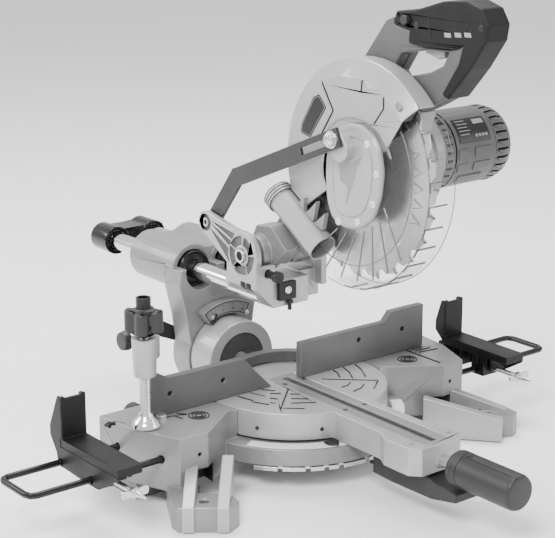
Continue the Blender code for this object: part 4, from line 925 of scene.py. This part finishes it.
def carriage_looks():
    """The carriage with its pocketed cheek and block, hinge and stops."""
    # The pockets' cut faces take the darker recess finish: painted shade in them.
    remade("carriage_casting", "pale_casting", 0.0009,
           cuts=cheek_pockets() + block_pockets(), lining="recess")
    remade("head_pivot_shaft", "steel", 0.0005)
    low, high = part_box("head_pivot_shaft")
    for name, x, way in (("left", low.x, -1), ("right", high.x, 1)):
        cap = joined(sleeve(0.0068, 0.0050, min(x, x + way * 0.0008), max(x, x + way * 0.0008),
                            (HEAD.y, HEAD.z), "X", 32))
        show("pivot_ring_" + name, cap, "carriage", "screw", 0.0002)
        # Near-black discs in the shaft's bores: painted shade inside them.
        bore = puck(0.0048, min(x, x + way * 0.0003), max(x, x + way * 0.0003), (HEAD.y, HEAD.z),
                    "X", 24)
        show("pivot_bore_shade_" + name, bore, "carriage", "pocket")
    spring_looks()
    remade("depth_stop_plate", "black", 0.0007)
    low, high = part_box("depth_stop_plate")
    stop = middle("depth_stop_plate")
    head = screw_head((stop.x, low.y, stop.z + 0.001), (0, -1, 0), 0.0042, 0.0018, "slot")
    show("depth_stop_screw", head, "carriage", "screw")
    rods = joined(puck(0.0022, low.z - 0.012, low.z + 0.001, (stop.x + 0.004, stop.y), "Z", 16,
                       0.0004),
                  hexagon(0.0040, low.z - 0.0045, low.z - 0.0015, (stop.x + 0.004, stop.y)))
    show("depth_stop_rod", rods, "carriage", "dark_screw", 0.0002)
    remade("head_lock_pin", "black", 0.0006)


def spring_looks():
    """The return spring: one wire wound along the CAD spring's box."""
    low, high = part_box("return_spring")
    centre = (low + high) / 2
    size = high - low
    axis = max(range(3), key=lambda i: size[i])
    across = [i for i in range(3) if i != axis]
    wire = 0.0011
    radius = min(size[across[0]], size[across[1]]) / 2 - wire
    turns = max(6, int(size[axis] / 0.0033))
    steps = turns * 18
    points = []
    for i in range(steps + 1):
        t = i / steps
        place = [0.0, 0.0, 0.0]
        place[axis] = low[axis] + wire + (size[axis] - 2 * wire) * t
        place[across[0]] = centre[across[0]] + radius * cos(2 * pi * turns * t)
        place[across[1]] = centre[across[1]] + radius * sin(2 * pi * turns * t)
        points.append(place)
    instead("return_spring", tube(points, wire, 2), "spring", sharp=60)


# ---- head -------------------------------------------------------------------------
BADGE = [(-0.0587, 0.3869), (-0.0698, 0.3753), (-0.0458, 0.3424), (-0.0311, 0.3453),
         (-0.0322, 0.3542), (-0.0499, 0.3826)]


def guard_looks():
    """The painted upper guard: seam lines, a raised front band and a plain badge."""
    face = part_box("upper_guard")[0].x
    seams = grooves([[(-0.0560, 0.4060), (-0.0596, 0.4030), (-0.0795, 0.3738), (-0.0657, 0.3533),
                      (-0.0590, 0.3420)],
                     [(-0.1339, 0.4180), (-0.1204, 0.4070), (-0.1192, 0.3973)],
                     [(-0.1503, 0.3952), (-0.1506, 0.3850), (-0.1382, 0.3696)]],
                    face - 0.002, face + 0.0005, 0.00032, "X")
    front = [from_blade(*spot) for spot in ((0.050, 28), (0.057, 29), (0.100, 40.5),
                                            (0.112, 41.5), (0.125, 41.5), (0.125, 20),
                                            (0.050, 20))]
    opening = slab(front, -0.020, 0.020, "X")
    # The seams and the front opening are lined with the dark line finish: painted shade in them.
    remade("upper_guard", "pale_casting", 0.0012, cuts=[seams, opening], lining="line")
    nub = joined(puck(0.0042, face - 0.0002, face + 0.001, (-0.1700, 0.3900), "X", 24, 0.0001),
                 sleeve(0.0032, 0.0018, face - 0.0003, face - 0.0001, (-0.1700, 0.3900), "X", 24))
    show("guard_nub", nub, "head", "casting")
    badge = slab(rounded_corners(BADGE, 0.0022), face - 0.0002, face + 0.0004, "X")
    show("guard_badge", badge, "head", "label", 0.0001)
    line = slab(rounded_corners(inset(BADGE, 0.0014), 0.0018), face - 0.0003, face - 0.0001, "X",
                holes=[rounded_corners(inset(BADGE, 0.0018), 0.0016)])
    show("guard_badge_line", line, "head", "label_grey")
    inner = sleeve(0.0570, 0.0545, face - 0.0003, face + 0.0008, (-0.1115, 0.3150), "X", 72)
    trim = block((face - 0.01, -0.200, 0.200), (face + 0.01, 0.000, 0.3400))
    show("guard_inner_rim", carved(inner, cuts=[trim]), "head", "casting", 0.0001)


def dust_port_looks():
    """The dust tube's ribs and the gussets between it and the guard."""
    remade("dust_port", "pale_casting", 0.0006)
    mid_rear = Vector((middle("dust_port").x, 0.0030, 0.2785))
    mid_front = Vector((middle("dust_port").x, -0.0690, 0.2355))
    turn = (mid_front - mid_rear).to_track_quat("Z", "Y").to_matrix().to_4x4()
    place = Matrix.Translation(mid_rear) @ turn
    rings = []
    for i in range(3):
        low_z = 0.0012 + i * 0.0034
        ring = sleeve(0.01580, 0.0152, low_z, low_z + 0.0019, sides=40)
        ring.transform(place)
        rings.append(ring)
    show("dust_port_rings", joined(*rings), "head", "pale_casting", 0.0003)
    # Dark bands in the grooves between the ribs: painted shade in the creases.
    dark = []
    for i in range(4):
        low_z = 0.0002 + i * 0.0034
        ring = sleeve(0.01572, 0.0152, low_z, low_z + 0.0008, sides=40)
        ring.transform(place)
        dark.append(ring)
    show("dust_port_groove_shade", joined(*dark), "head", "coat")
    # A near-black sleeve inside the tube's mouth: painted shade in the bore.
    mouth = sleeve(0.0125, 0.0118, 0.0005, 0.030, sides=32)
    mouth.transform(place)
    show("dust_port_bore_shade", mouth, "head", "pocket")
    gussets = []
    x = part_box("upper_guard")[0].x
    for base, tip in (((-0.0500, 0.2635), (-0.0615, 0.2820)),
                      ((-0.0640, 0.2570), (-0.0745, 0.2725)),
                      ((-0.0350, 0.2700), (-0.0420, 0.2820))):
        half = 0.0062
        tri = [(base[0] + half, base[1] + 0.002), (base[0] - half, base[1] - 0.002), tip]
        gussets.append(slab(tri, x - 0.0052, x + 0.0004, "X"))
    show("dust_port_gussets", joined(*gussets), "head", "casting", 0.0004)


def gear_looks():
    """The gear housing with ribs on its neck and bolts round its case."""
    remade("gear_housing", "casting", 0.0012)
    bolts = bolt_circle((0.0580, BLADE.y, BLADE.z), 0.0440, 5, 20, (1, 0, 0), 0.0030, 0.0020, "hex")
    show("gear_case_bolts", bolts, "head", "screw")
    ribs = []
    for i in range(4):
        t = 0.30 + i * 0.13
        place = Vector((0.0335, BLADE.y, BLADE.z)).lerp(Vector((0.0335, HEAD.y, HEAD.z)), t)
        rib = block((0.0330, place.y - 0.0009, place.z - 0.0200),
                    (0.0352, place.y + 0.0009, place.z + 0.0180))
        ribs.append(turned_about(rib, place, -38.7))
    show("neck_ribs", joined(*ribs), "head", "casting", 0.0004)


def motor_looks():
    """The motor's casing with vents, pads and a plain label, and its finned end cap."""
    low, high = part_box("motor_housing")
    centre = (MOTOR.y, MOTOR.z)
    radius = (high.z - low.z) / 2
    vents = []
    for i in range(30):
        vent = block((0.0662, centre[0] - 0.0012, centre[1] + radius - 0.0016),
                     (0.0725, centre[0] + 0.0012, centre[1] + radius + 0.002))
        vents.append(turned_about(vent, Vector((0.0, *centre)), i * 12))
    bands = [sleeve(radius + 0.003, radius - 0.0006, x, x + 0.0008, centre, "X", 64)
             for x in (0.0765, 0.1275)]
    # The vents and bands are lined in black: painted shade inside the slots and grooves.
    remade("motor_housing", "grey_plastic", 0.0008, cuts=[joined(*vents)] + bands,
           lining="black")
    pads = []
    for angle, x0, x1 in ((178, 0.0800, 0.0930), (178, 0.1020, 0.1240), (200, 0.0800, 0.0930),
                          (200, 0.1020, 0.1240), (222, 0.0860, 0.1180)):
        patch = sector(centre, radius - 0.002, radius + 0.0006, angle - 7, angle + 7, 6)
        pads.append(slab(patch, x0, x1, "X"))
    show("motor_pads", joined(*pads), "head", "grey_plastic", 0.0006)
    patch = sector(centre, radius - 0.002, radius + 0.0003, 124, 163, 14)
    show("motor_label", slab(patch, 0.0830, 0.1245, "X"), "head", "label")
    lines = []
    for i in range(5):
        angle = 128 + i * 5.5
        lines.append(slab(sector(centre, radius, radius + 0.00042, angle, angle + 1.2, 2), 0.0855,
                          0.0980 + 0.002 * (i % 2), "X"))
    lines.append(slab(sector(centre, radius, radius + 0.00042, 128, 136, 4), 0.1080, 0.1220, "X"))
    for i in range(4):
        lines.append(slab(sector(centre, radius, radius + 0.00042, 152, 156, 3),
                          0.1050 + i * 0.0044, 0.1080 + i * 0.0044, "X"))
    show("motor_label_print", joined(*lines), "head", "label_grey")
    low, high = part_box("motor_end_cap")
    fins = []
    for i in range(28):
        fin = block((0.1345, centre[0] - 0.0010, centre[1] + 0.0362),
                    (0.1500, centre[0] + 0.0010, centre[1] + 0.0410))
        fins.append(turned_about(fin, Vector((0.0, *centre)), i * 360 / 28))
    rings = [sleeve(r + 0.0010, r, high.x - 0.0010, high.x + 0.002, centre, "X", 48)
             for r in (0.0090, 0.0150, 0.0205)]
    # The cuts between the fins take the near-black pocket finish: painted shade between them.
    remade("motor_end_cap", "grey_plastic", 0.0006, cuts=fins + rings)
    cap = puck(0.0062, centre[0] + 0.0350, centre[0] + 0.0392, (0.118, centre[1] - 0.004), "Y",
               24, 0.0005)
    show("brush_cap", cap, "head", "black")


def handle_looks():
    """The D-handle: soft grip with slits and screws, grey shells behind it."""
    remade("handle_shell_left", "grey_plastic", 0.0016)
    remade("handle_shell_right", "grey_plastic", 0.0016)
    low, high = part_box("handle_overmould")
    lines = [[(-0.2109, 0.4680), (-0.2100, 0.4640), (-0.2067, 0.4579)],
             [(-0.2238, 0.4687), (-0.2225, 0.4650), (-0.2199, 0.4592)],
             [(-0.2330, 0.4700), (-0.2315, 0.4660), (-0.2285, 0.4610)],
             [(-0.1739, 0.4720), (-0.1745, 0.4600), (-0.1777, 0.4498)]]
    # Black strips and rings on the grip's faces: painted shade for the slits and the screws'
    # recesses.
    marks = []
    for face in (low.x, high.x):
        marks += [slab(strip(line, 0.0005), face - 0.0002, face + 0.0002, "X") for line in lines]
        marks += [puck(0.0036, face - 0.0002, face + 0.0002, place, "X", 24)
                  for place in ((-0.1580, 0.4600), (-0.2405, 0.4650))]
    show("handle_slit_shade", joined(*marks), "head", "black")
    remade("handle_overmould", "rubber", 0.0020)
    side = [(-0.1490, 0.4590), (-0.1475, 0.4425), (-0.1700, 0.4400), (-0.2030, 0.4412),
            (-0.2135, 0.4440), (-0.2190, 0.4490), (-0.2140, 0.4570), (-0.2050, 0.4590)]
    panel = slab(rounded_corners(side, 0.003), low.x + 0.0002, low.x + 0.0030, "X")
    show("handle_side_grip", panel, "head", "rubber", 0.0008)
    heads = [screw_head((low.x - 0.0001, y, z), (-1, 0, 0), 0.0026, 0.0006)
             for y, z in ((-0.1580, 0.4600), (-0.2405, 0.4650))]
    show("handle_screws", joined(*heads), "head", "dark_screw")
    pads = []
    for y, z in ((-0.1990, 0.4548), (-0.2120, 0.4562), (-0.2242, 0.4574)):
        corners = [(y - 0.0045, z - 0.0018), (y + 0.0035, z - 0.0022), (y + 0.0045, z + 0.0018),
                   (y - 0.0035, z + 0.0022)]
        pads.append(slab(corners, low.x - 0.0004, low.x + 0.0010, "X"))
    show("handle_pads", joined(*pads), "head", "label_grey", 0.0002)
    remade("trigger", "label_grey", 0.0010)
    remade("lock_off_button", "knob", 0.0006)


def inside_looks():
    """The parts seen only through gaps: windings, armature, fan, gears and switch."""
    remade("motor_stator", "copper", 0.0005)
    remade("armature", "copper", 0.0004)
    remade("cooling_fan", "black", 0.0003)
    remade("spindle_gear", "steel", 0.0003)
    remade("spindle", "steel", 0.0003)
    remade("trigger_switch", "black", 0.0005)


# ---- blade and lower guard ----------------------------------------------------------
def blade_looks():
    """The blade: a toothed steel disc with slots, brazed tips and a worn face."""
    low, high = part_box("saw_blade")
    centre = (BLADE.y, BLADE.z)
    teeth = 24
    radius = (high.z - low.z) / 2
    outline = []
    for i in range(teeth):
        start = 360 * i / teeth
        for angle, r in ((0.0, radius - 0.0006), (3.2, radius - 0.0022), (8.0, radius - 0.0034),
                         (10.8, radius - 0.0088), (12.6, radius - 0.0094), (14.2, radius - 0.0070)):
            turn = radians(start + angle)
            outline.append((centre[0] + r * cos(turn), centre[1] + r * sin(turn)))
    slots = []
    for i in range(4):
        turn = 45 + 90 * i
        slots.append(sector(centre, radius - 0.024, radius - 0.0225, turn, turn + 9, 6))
    bore = arc(centre, 0.0085, 0, 345, 23)
    plate = slab(outline, low.x + 0.0002, high.x - 0.0002, "X", holes=slots + [bore])
    instead("saw_blade", plate, "blade", 0.0, 30)
    tips = []
    for i in range(teeth):
        turn = radians(360 * i / teeth)
        tip = block((low.x, -0.0018, radius - 0.0064), (high.x, 0.0002, radius))
        matrix = (Matrix.Translation((0.0, *centre)) @ Matrix.Rotation(turn - pi / 2, 4, "X"))
        tip.transform(matrix)
        tips.append(tip)
    show("blade_tips", joined(*tips), "blade", "carbide", 0.0002)
    remade("blade_flange", "steel", 0.0006)
    remade("blade_flange_inner", "steel", 0.0006)
    low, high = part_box("arbor_bolt")
    face = low.x
    washer = sleeve(0.0100, 0.0055, high.x - 0.0010, high.x, centre, "X", 40)
    head = hexagon(0.0078, face, high.x - 0.0008, centre, "X")
    socket = hexagon(0.0038, face - 0.001, face + 0.0022, centre, "X")
    instead("arbor_bolt", joined(carved(head, cuts=[socket]), washer), "dark_screw", 0.0005)


COVER = [(-0.0772, 0.3145), (-0.0788, 0.2900), (-0.0860, 0.2720), (-0.0990, 0.2652),
         (-0.1125, 0.2645), (-0.1300, 0.2680), (-0.1455, 0.2800), (-0.1550, 0.3030),
         (-0.1578, 0.3281), (-0.1530, 0.3480), (-0.1420, 0.3610), (-0.1250, 0.3675),
         (-0.1080, 0.3660), (-0.0930, 0.3590), (-0.0825, 0.3440), (-0.0780, 0.3300)]


def lower_guard_looks():
    """The clear guard with its ribs, and the painted cover plate on its hub."""
    remade("lower_guard", "clear", 0.0005)
    low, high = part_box("lower_guard")
    centre = (BLADE.y, BLADE.z)
    radius = 0.1125
    # The ribs and edge lines are opaque dark grey: painted shade for how the clear plastic's ribs
    # and edges look.
    ribs = []
    for i in range(11):
        angle = 152 + i * 11.5
        base = sector(centre, radius - 0.0012, radius + 0.0005, angle, angle + 0.55, 2)
        ribs.append(slab(base, low.x + 0.0012, high.x - 0.009, "X"))
        hook = sector(centre, radius - 0.0012, radius + 0.0005, angle, angle + 5.0, 4)
        ribs.append(slab(hook, low.x + 0.0012, low.x + 0.0020, "X"))
    show("lower_guard_rim_ribs", joined(*ribs), "lower_guard", "clear_painted_shade")
    for x, name in ((low.x + 0.0004, "left"), (high.x - 0.0004, "right")):
        edge = [(x, *spot) for spot in arc(centre, radius - 0.0004, 146, 284, 60)]
        show("lower_guard_edge_" + name, tube(edge, 0.00045, 1), "lower_guard", "clear_painted_shade",
             0.0)
    lines = []
    for i in range(7):
        start = radians(205 + i * 13)
        first = (centre[0] + 0.058 * cos(start), centre[1] + 0.058 * sin(start))
        turn = radians(222 + i * 13)
        last = (centre[0] + 0.1040 * cos(turn), centre[1] + 0.1040 * sin(turn))
        lines.append(slab(bar(first, last, 0.0006, 0.0006, 3), low.x - 0.0005, low.x + 0.0006,
                          "X"))
    for i in range(5):
        angle = 158 + i * 9
        first = radians(angle)
        tri = [(centre[0] + 0.0930 * cos(first), centre[1] + 0.0930 * sin(first)),
               (centre[0] + 0.1045 * cos(first + 0.05), centre[1] + 0.1045 * sin(first + 0.05)),
               (centre[0] + 0.0930 * cos(first + 0.10), centre[1] + 0.0930 * sin(first + 0.10))]
        lines.append(slab(strip(tri, 0.0005), low.x - 0.0005, low.x + 0.0006, "X"))
    ring = sleeve(0.0895, 0.0888, low.x - 0.0004, low.x + 0.0006, centre, "X", 96)
    keep = slab(sector(centre, 0.050, 0.100, 330, 505, 24), low.x - 0.002, low.x + 0.002, "X")
    lines.append(carved(ring, cuts=[keep]))
    show("lower_guard_side_ribs", joined(*lines), "lower_guard", "clear_painted_shade")
    low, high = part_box("guard_cover_plate")
    face = -0.0235
    body = slab(rounded_corners(COVER, 0.006, 3), face + 0.0008, -0.0188, "X")
    bolt = (BOLT.y, BOLT.z)
    plate = slab(rounded_corners(inset(COVER, 0.0012), 0.006, 3), face, face + 0.001, "X")
    lug = slab(bar((-0.1080, 0.3420), bolt, 0.0120, 0.0088, 10), low.x, -0.0190, "X")
    instead("guard_cover_plate", joined(body, plate, lug), "pale_casting", 0.0007)
    edge = slab(rounded_corners(inset(COVER, 0.0115), 0.005, 3), face - 0.0006, face + 0.0002,
                "X", holes=[rounded_corners(inset(COVER, 0.0128), 0.005, 3)])
    show("cover_ring", edge, "lower_guard", "casting", 0.0003)
    dome = slab(rounded_corners(inset(COVER, 0.0128), 0.005, 3), face - 0.0003, face + 0.0002, "X")
    show("cover_dome", dome, "lower_guard", "pale_casting", 0.0002)
    relief = [(-0.0975, 0.3280), (-0.1150, 0.3300), (-0.1330, 0.3400), (-0.1240, 0.3260),
              (-0.1200, 0.3120), (-0.1080, 0.2860), (-0.1110, 0.3060), (-0.1000, 0.3100)]
    show("cover_relief", slab(rounded_corners(relief, 0.003), face - 0.0006, face + 0.0002, "X"),
         "lower_guard", "casting", 0.0002)
    heads = []
    for angle in (45, 9, -27, -63, -97):
        place = from_blade(0.0478, angle)
        heads.append(screw_head((face, *place), (-1, 0, 0), 0.0036, 0.0022))
    show("cover_screws", joined(*heads), "lower_guard", "cover_screw")


def link_looks():
    """The flat steel link, its pivot screw and the slotted end's bolt."""
    remade("guard_link", "link", 0.0005)
    remade("guard_link_bolt", "screw", 0.0012)
    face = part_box("guard_link")[0].x
    head = screw_head((face, LINK.y, LINK.z), (-1, 0, 0), 0.0058, 0.0030, "hex")
    show("link_pivot_screw", head, "guard_link", "dark_screw")
    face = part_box("guard_link_bolt")[0].x
    heads = joined(screw_head((face + 0.0004, BOLT.y, BOLT.z), (-1, 0, 0), 0.0056, 0.0016),
                   sleeve(0.0085, 0.0060, -0.0400, -0.0386, (BOLT.y, BOLT.z), "X", 40))
    show("link_bolt_face", heads, "guard_link", "screw")


# ---- extensions -------------------------------------------------------------------
def stop_looks(side, name):
    """A folded stop bracket: ribs in its hollow side, a slot and panel lines."""
    node = "stop_bracket_" + name
    low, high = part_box(node)
    outer = high.x if side > 0 else low.x
    inner = low.x if side > 0 else high.x
    lines = [[(-0.0060, 0.0700), (-0.0060, 0.0560)], [(-0.0070, 0.0640), (-0.0360, 0.0520)]]
    cutter = grooves(lines, min(outer, outer - side * 0.0006), max(outer + side * 0.002, outer),
                     0.0004, "X")
    # The grooves are lined with the near-black pocket finish: painted shade in them.
    remade(node, "coat", 0.0007, cuts=[cutter], lining="pocket")
    rows = []
    for i in range(6):
        y = -0.0060 - i * 0.0128
        rows.append(block((min(inner, inner + side * 0.004), y - 0.0005, 0.0560),
                          (max(inner, inner + side * 0.004), y + 0.0005, 0.0665)))
    show("stop_ribs_" + name, joined(*rows), "extension_" + name, "coat", 0.0002)


def extension_looks():
    """The wire loops, folded stops and wing screws on both sides."""
    for side, name in ((-1, "left"), (1, "right")):
        remade("extension_loop_" + name, "loop", 0.0008)
        stop_looks(side, name)
        node = "wing_screw_" + name
        low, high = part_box(node)
        centre = (low + high) / 2
        shaft = [(0.0, low.y), (0.0012, low.y), (0.0019, low.y + 0.006), (0.0026, low.y + 0.009)]
        steps = 26
        start = low.y + 0.010
        for i in range(steps):
            y = start + i * (high.y - start) / steps
            shaft += [(0.0030, y), (0.0025, y + (high.y - start) / steps / 2)]
        shaft += [(0.0026, high.y), (0.0, high.y)]
        rod = turned(shaft, (centre.x, 0.052), "Y", 16)
        nut = wing_nut((centre.x, -0.0940, 0.052), -1, 0.0135, side)
        instead(node, joined(rod, nut), "screw", 0.0, 30)
        bolt = joined(hexagon(0.0052, -0.0560, -0.0520, (centre.x, 0.052), "Y"))
        show("jam_nut_" + name, bolt, "wing_" + name, "dark_screw", 0.0004)


# ---- clamp ------------------------------------------------------------------------
def clamp_looks():
    """The hold-down clamp: its post, arm, knobs and screw."""
    remade("clamp_arm", "pale_casting", 0.0011)
    remade("clamp_post", "steel", 0.0005)
    screw = middle("clamp_screw")
    low_s, high_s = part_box("clamp_screw")
    clamp_screw_looks(screw, low_s, high_s)
    remade("clamp_arm_knob", "knob", 0.0007)
    remade("post_lock_knob", "knob", 0.0009)
    collar = sleeve(0.0100, 0.0074, 0.1290, 0.1330, (screw.x, screw.y), "Z", 40)
    show("clamp_collar", collar, "clamp_arm", "casting", 0.0004)
    nut = hexagon(0.0060, TABLE_Z - 0.0004, TABLE_Z + 0.0036, (-0.1690, -0.0030))
    show("wing_nut_piece", nut, "base", "screw", 0.0006)
    hook = [(x, y, TABLE_Z - 0.0019) for x, y in
            ((-0.2050, 0.0060), (-0.2090, 0.0150), (-0.2150, 0.0200), (-0.2195, 0.0175),
             (-0.2185, 0.0125))]
    show("base_hook", tube(hook, 0.0021, 4), "base", "dark_screw", 0.0)


def clamp_screw_looks(centre, low, high):
    """The clamp's screw: a star knob with a hollow tube on top, a thread and a foot."""
    axis = (centre.x, centre.y)
    foot_top = low.z + 0.0145
    thread = [(0.0, low.z + 0.010), (0.0050, low.z + 0.010)]
    steps = 34
    start = low.z + 0.012
    span = 0.1700 - start
    for i in range(steps):
        z = start + i * span / steps
        thread += [(0.0050, z), (0.0044, z + span / steps / 2)]
    thread += [(0.0050, 0.1700), (0.0, 0.1700)]
    foot = [(0.0, low.z), (0.0132, low.z), (0.0145, low.z + 0.0012), (0.0140, low.z + 0.0035),
            (0.0115, low.z + 0.0070), (0.0080, low.z + 0.0100), (0.0062, foot_top),
            (0.0, foot_top)]
    rod = joined(turned(thread, axis, "Z", 28), turned(foot, axis, "Z", 56))
    instead("clamp_screw", rod, "chrome", 0.0, 35)
    lobes = []
    for i in range(4):
        turn = radians(45 + 90 * i)
        lobes.append(bar(axis, (axis[0] + 0.0125 * cos(turn), axis[1] + 0.0125 * sin(turn)),
                         0.0075, 0.0064, 8))
    knob = slab(lobes[0], 0.1705, 0.1935)
    knob = carved(knob, adds=[slab(lobe, 0.1705, 0.1935) for lobe in lobes[1:]]
                  + [turned([(0.0, 0.1680), (0.0088, 0.1680), (0.0098, 0.1720), (0.0098, 0.1925),
                             (0.0080, 0.1950), (0.0, 0.1950)], axis, "Z", 32)])
    show("clamp_star_knob", knob, "clamp_screw", "knob", 0.0022)
    top = joined(sleeve(0.0072, 0.0054, 0.1930, high.z, axis, "Z", 36),
                 puck(0.0056, 0.1930, 0.1965, axis, "Z", 24))
    show("clamp_tube", top, "clamp_screw", "dark_screw", 0.0005)


# ---- stage ------------------------------------------------------------------------
def stage():
    """A wide, plain, pale floor that is open on every side."""
    graph = Graph("pale_floor")
    cloud = graph.noise(3.0, 2.0)
    tone = graph.blend(graph.ranged(cloud, 0.3, 0.7, 0.0, 1.0), grey(0.89), grey(0.92))
    graph.link(tone, graph.shader.inputs["Base Color"])
    graph.shader.inputs["Roughness"].default_value = 0.75
    bm = bmesh.new()
    bmesh.ops.create_grid(bm, x_segments=16, y_segments=16, size=14.0)
    mesh = bpy.data.meshes.new("floor")
    bm.to_mesh(mesh)
    bm.free()
    mesh.materials.append(graph.material)
    floor = bpy.data.objects.new("floor", mesh)
    bpy.context.scene.collection.objects.link(floor)


def lamp(name, place, size, power, target=(0.0, 0.0, 0.2)):
    """A soft rectangular light aimed at a point."""
    data = bpy.data.lights.new(name, "AREA")
    data.shape = "RECTANGLE"
    data.size, data.size_y = size
    data.energy = power
    obj = bpy.data.objects.new(name, data)
    obj.location = place
    obj.rotation_euler = (Vector(target) - Vector(place)).to_track_quat("-Z", "Y").to_euler()
    bpy.context.scene.collection.objects.link(obj)


def lighting():
    """An even white world and four soft lights."""
    world = bpy.data.worlds.new("studio")
    world.use_nodes = True
    background = world.node_tree.nodes["Background"]
    background.inputs["Color"].default_value = (1.0, 1.0, 1.0, 1.0)
    background.inputs["Strength"].default_value = 1.05
    bpy.context.scene.world = world
    lamp("key", (-1.5, -1.0, 1.9), (0.8, 0.8), 72)
    lamp("fill", (1.2, -1.6, 0.9), (0.9, 0.9), 8)
    lamp("top", (0.3, 0.6, 2.0), (1.2, 1.0), 48)
    lamp("back", (-1.2, 1.4, 1.1), (0.9, 0.7), 22)


def camera():
    """The camera of the main view."""
    data = bpy.data.cameras.new("camera")
    data.sensor_width = 36.0
    data.lens = 103.8
    obj = bpy.data.objects.new("camera", data)
    place = Vector((-0.9973, -1.2280, 0.6411))
    obj.location = place
    aim = Vector((-0.0205, 0.0, 0.200)) - place
    obj.rotation_euler = aim.to_track_quat("-Z", "Y").to_euler()
    bpy.context.scene.collection.objects.link(obj)
    bpy.context.scene.camera = obj


base_looks()
turntable_looks()
grip_looks()
bevel_looks()
rail_looks()
carriage_looks()
guard_looks()
dust_port_looks()
gear_looks()
motor_looks()
handle_looks()
inside_looks()
blade_looks()
lower_guard_looks()
link_looks()
extension_looks()
clamp_looks()
stage()
lighting()
camera()
